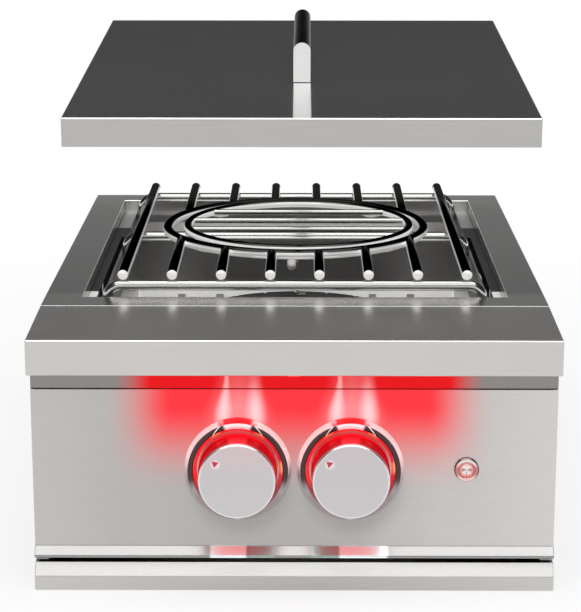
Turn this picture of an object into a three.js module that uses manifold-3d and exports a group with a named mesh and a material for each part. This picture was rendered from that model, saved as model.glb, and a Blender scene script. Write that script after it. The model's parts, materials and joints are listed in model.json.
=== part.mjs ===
// Built in side burner with a lifted lid, a lift-out grate, lit knobs and a drip tray.
// Millimetres. X runs to the right, Y to the back, Z up, origin under the middle of the footprint.
import * as THREE from 'three';
import * as BufferGeometryUtils from 'three/addons/utils/BufferGeometryUtils.js';
import Module from 'manifold-3d';

const wasm = await Module();
wasm.setup();

// Overall sizes
const overallWidth = 470;
const deckDepth = 648;
const deckTop = 237.3;
const sheet = 1.5;
const gap = 0.3;
const overrun = 2;

// Deck and nose
const deckSideStrip = 35;
const openingDepth = 469.6;
const noseDepth = 110.5;
const deckFrontStrip = 34.6;
const noseDrop = 3.5;
const lipHeight = 32;
const lipReturn = 10;
const deckRim = 12;
const openingFlange = 14;

// Casing
const panelSetBack = 12;
const panelSideInset = 2;
const panelDrop = 15.6;
const panelFoot = 39.9;
const footChamfer = 7;
const footLip = 2.3;
const panelReturn = 14;
const casingFlange = 12;
const railSetBack = 2;
const railHeight = 30;
const floorHeight = 27.5;
const floorHoleWidth = 260;
const floorHoleDepth = 300;

// Knobs and their valves
const knobSpacing = 100;
const controlHeight = 112.5;
const knobProud = 24;
const knobRadius = 34;
const knobLength = 31;
const knobSkirt = 1;
const knobChamfer = 1;
const knobSkirtStart = 7.75;
const knobSkirtFull = 6.2;
const knobTravel = 4;
const pointerSide = 6.2;
const pointerDepth = 0.8;
const pointerRimGap = 5.6;
const pointerTurn = 49;
const pointerCorners = 3;
const bezelRadius = 47.75;
const bezelHeight = 8;
const bezelCrest = 3;
const bezelCrestWidth = 4.8;
const bezelFloor = 1.4;
const lightRing = 2.4;
const lightRingHeight = 2.6;
const knobRunning = 1.8;
const panelHole = 6;
const stemRadius = 3;
const stemGrip = 15;
const stemEngagement = 3.5;
const valveWidth = 24;
const valveHeight = 26;
const valveDepth = 36;
const valveBehindPanel = 8;
const valveFace = 14;
const plugRadius = 6;
const plugDepth = 18;
const boreRunning = 0.5;
const orificeRadius = 5;
const orificeHead = 8;
const orificeLength = 12;
const orificeFlange = 4;

// Push button
const buttonInset = 79.6;
const buttonRadius = 11;
const buttonBarrelRadius = 9;
const buttonBarrelLength = 24;
const buttonProud = 2.5;
const buttonChamfer = 0.8;
const buttonLightRadius = 7.3;
const buttonLightWidth = 1.1;
const buttonCapRecess = 1;
const buttonCapDepth = 8;
const buttonTravel = 2;
const buttonRunning = 0.4;
const buttonNutRadius = 13;
const buttonNutHeight = 4;

// Light strip under the lip
const stripLength = 300;
const stripWidth = 3;
const stripDrop = 1.8;
const lensLength = 10;
const lensReach = 5;

// Well
const channelWidth = 14.5;
const wellLift = 62.5;
const linerDrop = 14.8;
const linerFlange = 14;
const slotWidth = 9;
const slotHeight = 12;
const slotPitch = 45;
const slotSill = 113;
const slotCount = 7;
const louvreRows = 4;
const louvrePitch = 12;
const louvreHeight = 4;
const louvreLength = 200;
const baffleDrop = 14.3;
const baffleHeight = 23.5;
const baffleProud = 12;
const baffleHem = 9;
const coverLength = 140;
const coverEdge = 8;
const coverPad = 72;
const ledgeDrop = 20.6;
const ledgeWidth = 14;
const ledgeHeight = 16;

// Grate
const barRadius = 5;
const barInset = 15.86;
const barHalfCount = 4;
const barRise = 18;
const barFrontInset = 13.9;
const barRearInset = 10.7;
const rodFrontInset = 16.9;
const rodMiddleShift = 0.25;
const rodRearInset = 18.7;
const legInset = 7.1;
const legBend = 14;
const ringInset = 28.54;
const ringTube = 5;
const ringShift = 1.85;
const insertInset = 18;
const insertTube = 4.25;
const insertRise = 1.7;
const insertShift = 3;
const chordRadius = 3;
const chordPitch = 45;
const chordHalfCount = 2;
const tabLength = 24;
const tabWidth = 12;
const tabThickness = 3;
const tabCount = 4;

// Burner
const burnerRadius = 115;
const burnerHub = 34;
const burnerRim = 154;
const burnerBase = 100;
const burnerFoot = 80;
const burnerWall = 4;
const outerCapInner = 62;
const outerCapHeight = 4;
const portWidth = 2.4;
const portDepth = 9;
const portCount = 20;
const innerCapRadius = 46;
const innerCapHeight = 13;
const innerCapEdge = 5;
const cradleWidth = 18;
const socketWidth = 30;
const socketHeight = 30;
const socketReach = 122;
const venturiRadius = 11;
const venturiWall = 1.5;
const venturiBell = 15;
const bellLength = 24;
const igniterRadius = 5;
const igniterLength = 24;
const igniterRise = 38.4;
const igniterBehind = 89.25;
const igniterAcross = -4.6;
const igniterTipShare = 0.6;
const igniterNoseShare = 0.8;
const bracketThickness = 2;
const bracketDepth = 10;

// Gas line
const manifoldRadius = 8;
const manifoldEnd = 85;
const supplyInset = 25;
const supplyBend = 24;
const inletRadius = 15;
const inletLength = 22;
const sparkWidth = 50;
const sparkHeight = 24;
const sparkDepth = 60;
const sparkAcross = 120;

// Drip tray
const trayFrontProud = 9;
const trayFrontTop = 24.8;
const trayKnee = 13.8;
const traySlant = 7;
const trayFrontBottom = 0.6;
const trayFrontReturn = 8;
const trayInset = 31;
const trayBottom = 3.5;
const trayHeight = 18;
const trayLength = 540;
const trayRim = 9;
const runnerLip = 12;

// Lid
const lidOverlap = 10;
const lidDepth = 490;
const lidSkirt = 26;
const lidTilt = 3.9;
const lidForward = 86.2;
const lidLift = 158;
const lidAside = 6.8;
const handleLength = 185;
const handleWidth = 16.2;
const handleHeight = 37.6;
const handlePost = 12;

// Roundness of turned and swept pieces
const fine = 48;
const medium = 28;
const coarse = 10;
const hexagon = 6;
const bendSteps = 4;
const fullTurn = 360;

// Places that follow from the sizes
const overallDepth = deckDepth + knobProud;
const lipFront = -overallDepth / 2 + knobProud;
const deckBack = overallDepth / 2;
const deckSide = overallWidth / 2;
const seam = lipFront + noseDepth;
const openingSide = deckSide - deckSideStrip;
const openingFront = seam + deckFrontStrip;
const openingBack = openingFront + openingDepth;
const lidAlong = (openingFront + openingBack) / 2;
const deckUnder = deckTop - sheet;
const lipTop = deckTop - noseDrop;
const lipBottom = lipTop - lipHeight;
const panelFace = lipFront + panelSetBack;
const panelInside = panelFace + sheet;
const panelTop = lipBottom - panelDrop;
const panelSide = deckSide - panelSideInset;
const footFace = panelFace - footChamfer;
const panelBottom = panelFoot - footChamfer - footLip;
const casingSide = panelSide;
const casingFront = panelInside + gap;
const casingBack = deckBack - sheet - gap;
const casingTop = deckUnder - gap;
const knobFace = lipFront - knobProud;
const knobBack = knobFace + knobLength;
const linerSide = openingSide - channelWidth;
const linerBottom = floorHeight + wellLift;
const linerTop = deckTop - linerDrop;
const baffleTop = deckTop - baffleDrop;
const ledgeTop = deckTop - ledgeDrop;
const barHeight = deckTop + barRise;
const insertHeight = barHeight + insertRise;
const igniterHeight = burnerRim + igniterRise;
const legAcross = linerSide - legInset;
const outerBar = legAcross - barInset;
const barPitch = outerBar / (barHalfCount - 0.5);
const ringRadius = outerBar - ringInset;
const insertRadius = ringRadius - insertInset;
const ringAlong = lidAlong + ringShift;
const igniterAlong = ringAlong + igniterBehind;
const barFront = openingFront + barFrontInset;
const barRear = openingBack - barRearInset;
const rodFront = openingFront + rodFrontInset;
const rodMiddle = ringAlong + rodMiddleShift;
const rodRear = openingBack - rodRearInset;
const valveFront = panelInside + valveBehindPanel;
const valveBack = valveFront + valveDepth;
const boreFront = valveFront + valveFace;
const manifoldHeight = controlHeight + valveHeight / 2 + gap + manifoldRadius;
const manifoldAlong = valveFront + valveDepth / 2;
const supplyAcross = casingSide - supplyInset;
const buttonAcross = panelSide - buttonInset;
const sides = [
  { side: 'left', sign: -1 },
  { side: 'right', sign: 1 },
];

// Finishes
function finish(color, roughness, metalness) {
  return new THREE.MeshStandardMaterial({ color, roughness, metalness, flatShading: true });
}
const deckSteel = finish(0x8a8784, 0.35, 1);
const brightSteel = finish(0xc8c4c0, 0.3, 1);
const plainSteel = finish(0x9a9896, 0.45, 1);
const wellSteel = finish(0x5c5a58, 0.4, 1);
const chrome = finish(0xe2e2e2, 0.08, 1);
const grateSteel = finish(0x3a3836, 0.2, 1);
const knobMetal = finish(0xc8c5c8, 0.35, 0.9);
const redLight = finish(0xff2a20, 0.4, 0);
const redMark = finish(0xc8203a, 0.5, 0);
const brass = finish(0xb99a55, 0.35, 1);
const castIron = finish(0x2e2d2c, 0.7, 0.6);
const ceramic = finish(0xe8e4dc, 0.4, 0);
const blackPlastic = finish(0x1a1a1a, 0.5, 0);

const root = new THREE.Group();

// A closed three.js geometry as a solid with its faces pointing out
function solidOf(geometry) {
  const bare = geometry.index ? geometry.toNonIndexed() : geometry.clone();
  bare.deleteAttribute('normal');
  bare.deleteAttribute('uv');
  const merged = BufferGeometryUtils.mergeVertices(bare);
  const vertProperties = new Float32Array(merged.attributes.position.array);
  const triVerts = new Uint32Array(merged.index.array);
  return new wasm.Manifold(new wasm.Mesh({ numProp: 3, vertProperties, triVerts }));
}

function joined(solids) {
  return solids.reduce((whole, next) => whole.add(next));
}

// Moves every point of a geometry to the exact place that a function gives for it
function placed(geometry, place) {
  const position = geometry.attributes.position;
  for (let i = 0; i < position.count; i += 1) {
    const [x, y, z] = place(position.getX(i), position.getY(i), position.getZ(i));
    position.setXYZ(i, x, y, z);
  }
  return geometry;
}

function block(x0, x1, y0, y1, z0, z1) {
  const unit = new THREE.BoxGeometry(1, 1, 1);
  const corner = (x, y, z) => [x < 0 ? x0 : x1, y < 0 ? y0 : y1, z < 0 ? z0 : z1];
  return solidOf(placed(unit, corner));
}

// A block between two distances from the middle, on the side that the sign names
function sideBlock(sign, near, far, y0, y1, z0, z1) {
  return block(Math.min(sign * near, sign * far), Math.max(sign * near, sign * far), y0, y1, z0, z1);
}

function unitExtrusion(points) {
  const shape = new THREE.Shape(points.map(([across, up]) => new THREE.Vector2(across, up)));
  return new THREE.ExtrudeGeometry(shape, { depth: 1, bevelEnabled: false });
}

// A closed outline of [y, z] points, drawn out along X
function profileAlongX(points, x0, x1) {
  return solidOf(placed(unitExtrusion(points), (y, z, end) => [end > 0 ? x1 : x0, y, z]));
}

// A closed outline of [x, z] points, drawn out along Y
function profileAlongY(points, y0, y1) {
  return solidOf(placed(unitExtrusion(points), (x, z, end) => [x, end > 0 ? y0 : y1, z]));
}

// A profile of [radius, place] points turned about a line along Y, through x and z
function turnedAlongY(points, x, z, segments = medium) {
  const outline = points.map(([radius, y]) => new THREE.Vector2(radius, y));
  const geometry = new THREE.LatheGeometry(outline, segments);
  geometry.translate(x, 0, z);
  const solid = solidOf(geometry);
  return solid.volume() < 0 ? solidOf(flipped(geometry)) : solid;
}

// A profile of [radius, height] points turned about an upright line
function turnedUpright(points, x, y, segments = medium) {
  const outline = points.map(([radius, height]) => new THREE.Vector2(radius, height));
  const geometry = new THREE.LatheGeometry(outline, segments);
  geometry.rotateX(Math.PI / 2);
  geometry.translate(x, y, 0);
  const solid = solidOf(geometry);
  return solid.volume() < 0 ? solidOf(flipped(geometry)) : solid;
}

function flipped(geometry) {
  const copy = geometry.clone();
  const index = copy.index.array;
  for (let i = 0; i < index.length; i += 3) {
    [index[i], index[i + 1]] = [index[i + 1], index[i]];
  }
  return copy;
}

function pinAlongY(radius, y0, y1, x, z, segments = medium) {
  return turnedAlongY([[0, y0], [radius, y0], [radius, y1], [0, y1]], x, z, segments);
}

// A path whose steps fall on chosen stations, so a long straight run takes one step
class StationPath extends THREE.Curve {
  constructor(stations) {
    super();
    this.stations = stations;
  }

  getPoint(t) {
    const place = t * (this.stations.length - 1);
    const low = Math.min(Math.floor(place), this.stations.length - 2);
    return this.stations[low].clone().lerp(this.stations[low + 1], place - low);
  }

  getPointAt(u) {
    return this.getPoint(u);
  }

  getTangentAt(u) {
    const last = this.stations.length - 1;
    const here = Math.round(u * last);
    const before = this.stations[Math.max(here - 1, 0)];
    const here3 = this.stations[here];
    const after = this.stations[Math.min(here + 1, last)];
    const into = here3.clone().sub(before).normalize();
    const onward = after.clone().sub(here3).normalize();
    return into.add(onward).normalize();
  }
}

// The stations of a line through corners, each corner rounded to the bend radius
function bentStations(corners, bend) {
  const stations = [corners[0]];
  for (let i = 1; i < corners.length - 1; i += 1) {
    const into = corners[i].clone().sub(corners[i - 1]).normalize();
    const onward = corners[i + 1].clone().sub(corners[i]).normalize();
    const half = into.angleTo(onward) / 2;
    const back = bend * Math.tan(half);
    const centre = onward.clone().sub(into).normalize().multiplyScalar(bend / Math.cos(half)).add(corners[i]);
    const start = corners[i].clone().addScaledVector(into, -back);
    const axis = into.clone().cross(onward).normalize();
    for (let step = 0; step <= bendSteps; step += 1) {
      const spoke = start.clone().sub(centre).applyAxisAngle(axis, (2 * half * step) / bendSteps);
      stations.push(centre.clone().add(spoke));
    }
  }
  stations.push(corners[corners.length - 1]);
  return stations;
}

function bentRod(corners, radius, bend, segments = coarse) {
  const stations = bentStations(corners, bend);
  const section = new THREE.Shape();
  section.absarc(0, 0, radius, 0, 2 * Math.PI);
  const geometry = new THREE.ExtrudeGeometry(section, {
    curveSegments: segments / 2,
    steps: stations.length - 1,
    extrudePath: new StationPath(stations),
  });
  const solid = solidOf(geometry);
  return solid.volume() < 0 ? solidOf(flippedLoose(geometry)) : solid;
}

function flippedLoose(geometry) {
  const copy = geometry.clone();
  const position = copy.attributes.position;
  const point = new THREE.Vector3();
  const other = new THREE.Vector3();
  for (let i = 0; i < position.count; i += 3) {
    point.fromBufferAttribute(position, i);
    other.fromBufferAttribute(position, i + 1);
    position.setXYZ(i, other.x, other.y, other.z);
    position.setXYZ(i + 1, point.x, point.y, point.z);
  }
  return copy;
}

function ringUpright(radius, tube, x, y, z, segments = fine) {
  const geometry = new THREE.TorusGeometry(radius, tube, coarse, segments);
  geometry.translate(x, y, z);
  return solidOf(geometry);
}

// Adds a named mesh made from a solid
function add(name, solid, material, group = root) {
  const { numProp, vertProperties, triVerts } = solid.getMesh();
  const geometry = new THREE.BufferGeometry();
  geometry.setAttribute('position', new THREE.BufferAttribute(new Float32Array(vertProperties), numProp));
  geometry.setIndex(new THREE.BufferAttribute(new Uint32Array(triVerts), 1));
  geometry.computeVertexNormals();
  const mesh = new THREE.Mesh(geometry, material);
  mesh.name = name;
  group.add(mesh);
  return mesh;
}

// The flat deck round the opening, with an outer rim and flanges down beside the well
function makeDeck() {
  const plate = block(-deckSide, deckSide, seam + gap, deckBack, deckUnder, deckTop);
  const cutLow = deckUnder - overrun;
  const opening = block(-openingSide, openingSide, openingFront, openingBack, cutLow, deckTop + overrun);
  const rimBottom = deckUnder - deckRim;
  const parts = [plate.subtract(opening)];
  parts.push(block(-deckSide, deckSide, deckBack - sheet, deckBack, rimBottom, deckUnder));
  for (const { sign } of sides) {
    parts.push(sideBlock(sign, deckSide - sheet, deckSide, seam + gap, deckBack, rimBottom, deckUnder));
    const low = deckTop - openingFlange;
    const outer = openingSide + sheet;
    parts.push(sideBlock(sign, openingSide, outer, openingFront, openingBack, low, deckUnder));
  }
  add('deck_frame', joined(parts), deckSteel);
}

// The sloped front strip, its lip and the lip's return, with closed ends
function makeNose() {
  const back = seam - gap;
  const skin = [
    [back, deckTop],
    [back, deckUnder],
    [lipFront + sheet, lipTop - sheet],
    [lipFront + sheet, lipBottom + sheet],
    [lipFront + lipReturn, lipBottom + sheet],
    [lipFront + lipReturn, lipBottom],
    [lipFront, lipBottom],
    [lipFront, lipTop],
  ];
  const rimBottom = deckUnder - deckRim;
  const cheek = [
    [back, deckTop],
    [back, rimBottom],
    [lipFront + lipReturn, rimBottom],
    [lipFront + lipReturn, lipBottom],
    [lipFront, lipBottom],
    [lipFront, lipTop],
  ];
  const nose = joined([
    profileAlongX(skin, -deckSide, deckSide),
    profileAlongX(cheek, -deckSide, -deckSide + sheet),
    profileAlongX(cheek, deckSide - sheet, deckSide),
  ]);
  add('nose_shelf', nose, brightSteel);
}

// The front panel with its chamfered foot, side returns and holes for the controls
function makeFrontPanel() {
  const back = panelInside;
  const skin = [
    [panelFace, panelTop],
    [panelFace, panelFoot],
    [footFace, panelFoot - footChamfer],
    [footFace, panelBottom],
    [back, panelBottom],
    [back, panelBottom + sheet],
    [footFace + sheet, panelBottom + sheet],
    [footFace + sheet, panelFoot - footChamfer + sheet / 2],
    [back, panelFoot + sheet / 2],
    [back, panelTop],
  ];
  const cheek = [
    [panelFace, panelTop],
    [panelFace, panelFoot],
    [footFace, panelFoot - footChamfer],
    [footFace, panelBottom],
    [back, panelBottom],
    [back, panelTop],
  ];
  let panel = joined([
    profileAlongX(skin, -panelSide, panelSide),
    profileAlongX(cheek, -panelSide, -panelSide + sheet),
    profileAlongX(cheek, panelSide - sheet, panelSide),
  ]);
  for (const { sign } of sides) {
    const across = (sign * knobSpacing) / 2;
    panel = panel.subtract(
      pinAlongY(panelHole, panelFace - overrun, back + overrun, across, controlHeight),
    );
  }
  const barrelHole = buttonBarrelRadius + gap;
  panel = panel.subtract(
    pinAlongY(barrelHole, panelFace - overrun, back + overrun, buttonAcross, controlHeight),
  );
  add('front_panel', panel, brightSteel);
}

// The recessed strip between the lip and the front panel, and the lamp strip under the lip
function makeLightRail() {
  const face = panelFace + railSetBack;
  const bottom = panelTop + gap;
  const rail = block(-panelSide, panelSide, face, face + sheet, bottom, bottom + railHeight);
  const foot = block(-panelSide, panelSide, face, face + panelReturn, bottom, bottom + sheet);
  add('light_rail', rail.add(foot), brightSteel);
  const stripFront = lipFront + lipReturn + gap;
  const stripBack = stripFront + stripWidth;
  const under = lipBottom - gap;
  const strip = joined([
    block(-stripLength / 2, stripLength / 2, stripFront, stripBack, under - stripDrop, lipBottom + sheet),
    block(-lensLength / 2, lensLength / 2, stripFront - lensReach, stripBack, under - stripDrop, under),
  ]);
  add('light_strip', strip, redLight);
}

// Side, back and floor sheets of the casing
function makeCasing() {
  const front = panelFace + railSetBack + panelReturn + gap;
  const foldBack = casingBack - sheet - gap;
  for (const { side, sign } of sides) {
    const inner = casingSide - sheet;
    const fold = casingSide - casingFlange;
    const floorFold = floorHeight - gap;
    const panel = joined([
      sideBlock(sign, inner, casingSide, casingFront, casingBack, 0, panelTop),
      sideBlock(sign, inner, casingSide, front, seam, panelTop, lipTop - sheet - gap),
      sideBlock(sign, inner, casingSide, seam, casingBack, panelTop, casingTop),
      sideBlock(sign, fold, inner, seam, foldBack, casingTop - sheet, casingTop),
      sideBlock(sign, fold, inner, casingFront, foldBack, 0, sheet),
      sideBlock(sign, fold, inner, casingFront, foldBack, floorFold - sheet, floorFold),
    ]);
    add(`${side}_side_panel`, panel, plainSteel);
  }
  const between = casingSide - sheet - gap;
  let back = block(-between, between, casingBack - sheet, casingBack, 0, casingTop - sheet - gap);
  const inletHole = pinAlongY(
    inletRadius - sheet,
    casingBack - sheet - overrun,
    casingBack + overrun,
    supplyAcross,
    manifoldHeight,
  );
  back = back.subtract(inletHole);
  for (let row = 0; row < louvreRows; row += 1) {
    const height = linerBottom - (row + 1) * louvrePitch;
    const slot = block(
      -louvreLength / 2,
      louvreLength / 2,
      casingBack - sheet - overrun,
      casingBack + overrun,
      height,
      height + louvreHeight,
    );
    back = back.subtract(slot);
  }
  add('back_panel', back, plainSteel);
  const floorBack = casingBack - sheet - gap;
  const floor = block(-between, between, casingFront, floorBack, floorHeight, floorHeight + sheet);
  const hole = block(
    -floorHoleWidth / 2,
    floorHoleWidth / 2,
    ringAlong - floorHoleDepth / 2,
    ringAlong + floorHoleDepth / 2,
    floorHeight - overrun,
    floorHeight + sheet + overrun,
  );
  add('base_pan', floor.subtract(hole), plainSteel);
}

// The tub under the opening: its front and rear walls hang from the deck
function makeWell() {
  const wallTop = deckUnder - gap;
  const outerSide = linerSide + sheet;
  const frontOut = openingFront - sheet;
  const backOut = openingBack + sheet;
  const endSide = openingSide - gap;
  const parts = [
    block(-outerSide, outerSide, frontOut, backOut, linerBottom, linerBottom + sheet),
    block(-outerSide, -linerSide, frontOut, backOut, linerBottom, linerTop),
    block(linerSide, outerSide, frontOut, backOut, linerBottom, linerTop),
    block(-outerSide, outerSide, frontOut, openingFront, linerBottom, wallTop),
    block(-outerSide, outerSide, openingBack, backOut, linerBottom, wallTop),
    block(-endSide, endSide, frontOut, openingFront, linerTop - linerFlange, wallTop),
    block(-endSide, endSide, openingBack, backOut, linerTop - linerFlange, wallTop),
    block(-endSide, endSide, frontOut - linerFlange, frontOut, wallTop - sheet, wallTop),
    block(-endSide, endSide, backOut, backOut + linerFlange, wallTop - sheet, wallTop),
  ];
  let liner = joined(parts);
  for (let i = 0; i < slotCount; i += 1) {
    const middle = (i - (slotCount - 1) / 2) * slotPitch;
    liner = liner.subtract(
      block(
        middle - slotWidth / 2,
        middle + slotWidth / 2,
        openingBack - overrun,
        backOut + overrun,
        slotSill,
        slotSill + slotHeight,
      ),
    );
  }
  const drip = block(
    -floorHoleWidth / 2,
    floorHoleWidth / 2,
    ringAlong - floorHoleDepth / 2,
    ringAlong + floorHoleDepth / 2,
    linerBottom - overrun,
    linerBottom + sheet + overrun,
  );
  liner = liner.subtract(drip);
  for (const { sign } of sides) {
    const tube = pinAlongY(
      venturiRadius + gap,
      frontOut - overrun,
      openingFront + overrun,
      (sign * knobSpacing) / 2,
      controlHeight,
    );
    liner = liner.subtract(tube);
  }
  add('well_liner', liner, wellSteel);
}

// The folded strip across the back wall, the channel covers and the ledges for the grate
function makeWellFittings() {
  const wall = openingBack - gap;
  const knee = baffleTop - baffleHem;
  const bottom = baffleTop - baffleHeight;
  const outline = [
    [wall, baffleTop],
    [wall - baffleProud, baffleTop],
    [wall - baffleProud, knee],
    [wall - sheet, bottom],
    [wall, bottom],
    [wall, bottom + sheet],
    [wall - baffleProud + sheet, knee + sheet / 2],
    [wall - baffleProud + sheet, baffleTop - sheet],
    [wall, baffleTop - sheet],
  ];
  const baffleSide = linerSide - sheet - gap;
  add('rear_baffle', profileAlongX(outline, -baffleSide, baffleSide), wellSteel);
  for (const { side, sign } of sides) {
    const rear = openingBack - gap;
    const coverLow = linerTop + gap;
    const outside = openingSide - gap;
    const edge = outside - coverEdge;
    const front = openingFront + gap;
    const coverTop = coverLow + sheet;
    const cover = joined([
      sideBlock(sign, linerSide, outside, rear - coverLength, rear, coverLow, coverTop),
      sideBlock(sign, edge, outside, front, rear, coverLow, coverTop),
      sideBlock(sign, edge, outside, front, front + coverPad, coverLow, coverTop + sheet / 2),
    ]);
    add(`${side}_channel_cover`, cover, wellSteel);
    const face = linerSide - gap;
    const inner = face - sheet;
    const ledgeFront = openingFront + gap;
    const ledgeBack = wall - baffleProud - gap;
    const ledge = joined([
      sideBlock(sign, inner, face, ledgeFront, ledgeBack, ledgeTop - ledgeHeight, ledgeTop),
      sideBlock(sign, face - ledgeWidth, inner, ledgeFront, ledgeBack, ledgeTop - sheet, ledgeTop),
    ]);
    add(`${side}_grate_ledge`, ledge, wellSteel);
  }
}

// The burner: a cast bowl on a cradle, with a ported outer cap and a domed inner cap
function makeBurner() {
  const bowl = [
    [0, burnerBase],
    [burnerFoot, burnerBase],
    [burnerRadius, burnerRim - burnerWall],
    [burnerRadius, burnerRim],
    [burnerRadius - burnerWall, burnerRim],
    [burnerFoot - burnerWall, burnerBase + burnerWall],
    [burnerHub, burnerBase + burnerWall],
    [burnerHub, burnerRim],
    [0, burnerRim],
  ];
  let base = turnedUpright(bowl, 0, ringAlong, fine);
  const socketFront = ringAlong - socketReach;
  for (const { sign } of sides) {
    const across = (sign * knobSpacing) / 2;
    const socket = block(
      across - socketWidth / 2,
      across + socketWidth / 2,
      socketFront,
      ringAlong - burnerHub,
      controlHeight - socketHeight / 2,
      controlHeight + socketHeight / 2,
    );
    const keep = turnedUpright(
      [
        [0, burnerBase - socketHeight],
        [burnerFoot - burnerWall, burnerBase - socketHeight],
        [burnerFoot - burnerWall, burnerRim],
        [0, burnerRim],
      ],
      0,
      ringAlong,
      fine,
    );
    base = base.add(socket.subtract(keep));
  }
  add('burner_base', base, castIron);
  const capTop = burnerRim + gap + outerCapHeight;
  let cap = turnedUpright(
    [
      [outerCapInner, burnerRim + gap],
      [burnerRadius, burnerRim + gap],
      [burnerRadius - outerCapHeight, capTop],
      [outerCapInner + outerCapHeight, capTop],
      [outerCapInner, burnerRim + gap],
    ],
    0,
    ringAlong,
    fine,
  );
  for (let i = 0; i < portCount; i += 1) {
    const port = block(
      burnerRadius - portDepth,
      burnerRadius + overrun,
      -portWidth / 2,
      portWidth / 2,
      capTop - outerCapHeight / 2,
      capTop + overrun,
    );
    cap = cap.subtract(port.rotate([0, 0, (fullTurn * i) / portCount]).translate([0, ringAlong, 0]));
  }
  const rib = block(
    -outerCapInner - outerCapHeight,
    outerCapInner + outerCapHeight,
    ringAlong - cradleWidth / 2,
    ringAlong + cradleWidth / 2,
    burnerRim + gap,
    burnerRim + gap + sheet,
  );
  add('outer_burner_cap', cap.add(rib), castIron);
  const domeBase = burnerRim + gap + sheet + gap;
  const dome = [
    [0, domeBase],
    [innerCapRadius, domeBase],
    [innerCapRadius, domeBase + innerCapEdge],
    [innerCapRadius - innerCapEdge, domeBase + innerCapHeight - innerCapEdge / 2],
    [innerCapRadius / 2, domeBase + innerCapHeight],
    [0, domeBase + innerCapHeight],
  ];
  add('inner_burner_cap', turnedUpright(dome, 0, ringAlong, medium), castIron);
  const cradleSide = linerSide - gap;
  const cradleTop = burnerBase - gap;
  const legBottom = linerBottom + sheet + gap;
  const near = ringAlong - cradleWidth / 2;
  const far = ringAlong + cradleWidth / 2;
  const cradle = joined([
    block(-cradleSide, cradleSide, near, far, cradleTop - sheet, cradleTop),
    block(-cradleSide, -cradleSide + sheet, near, far, legBottom, cradleTop),
    block(cradleSide - sheet, cradleSide, near, far, legBottom, cradleTop),
  ]);
  add('burner_cradle', cradle, plainSteel);
}

// The igniter stands on the burner's rim: an upright strap with a ceramic held level
function makeIgniter() {
  const strapLeft = igniterAcross + igniterRadius + gap;
  const strapTop = igniterHeight + igniterRadius;
  const foot = burnerRim + gap + outerCapHeight + gap;
  const strap = joined([
    block(
      strapLeft,
      strapLeft + bracketThickness,
      igniterAlong,
      igniterAlong + bracketDepth,
      foot,
      strapTop,
    ),
    block(
      strapLeft,
      strapLeft + bracketDepth,
      igniterAlong,
      igniterAlong + bracketDepth,
      foot,
      foot + sheet,
    ),
  ]);
  add('igniter_bracket', strap, plainSteel);
  const nose = [
    [0, igniterAlong - igniterRadius],
    [igniterRadius * igniterTipShare, igniterAlong - igniterRadius * igniterNoseShare],
    [igniterRadius, igniterAlong],
    [igniterRadius, igniterAlong + igniterLength],
    [0, igniterAlong + igniterLength],
  ];
  add('igniter', turnedAlongY(nose, igniterAcross, igniterHeight, medium / 2), ceramic);
}

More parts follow.
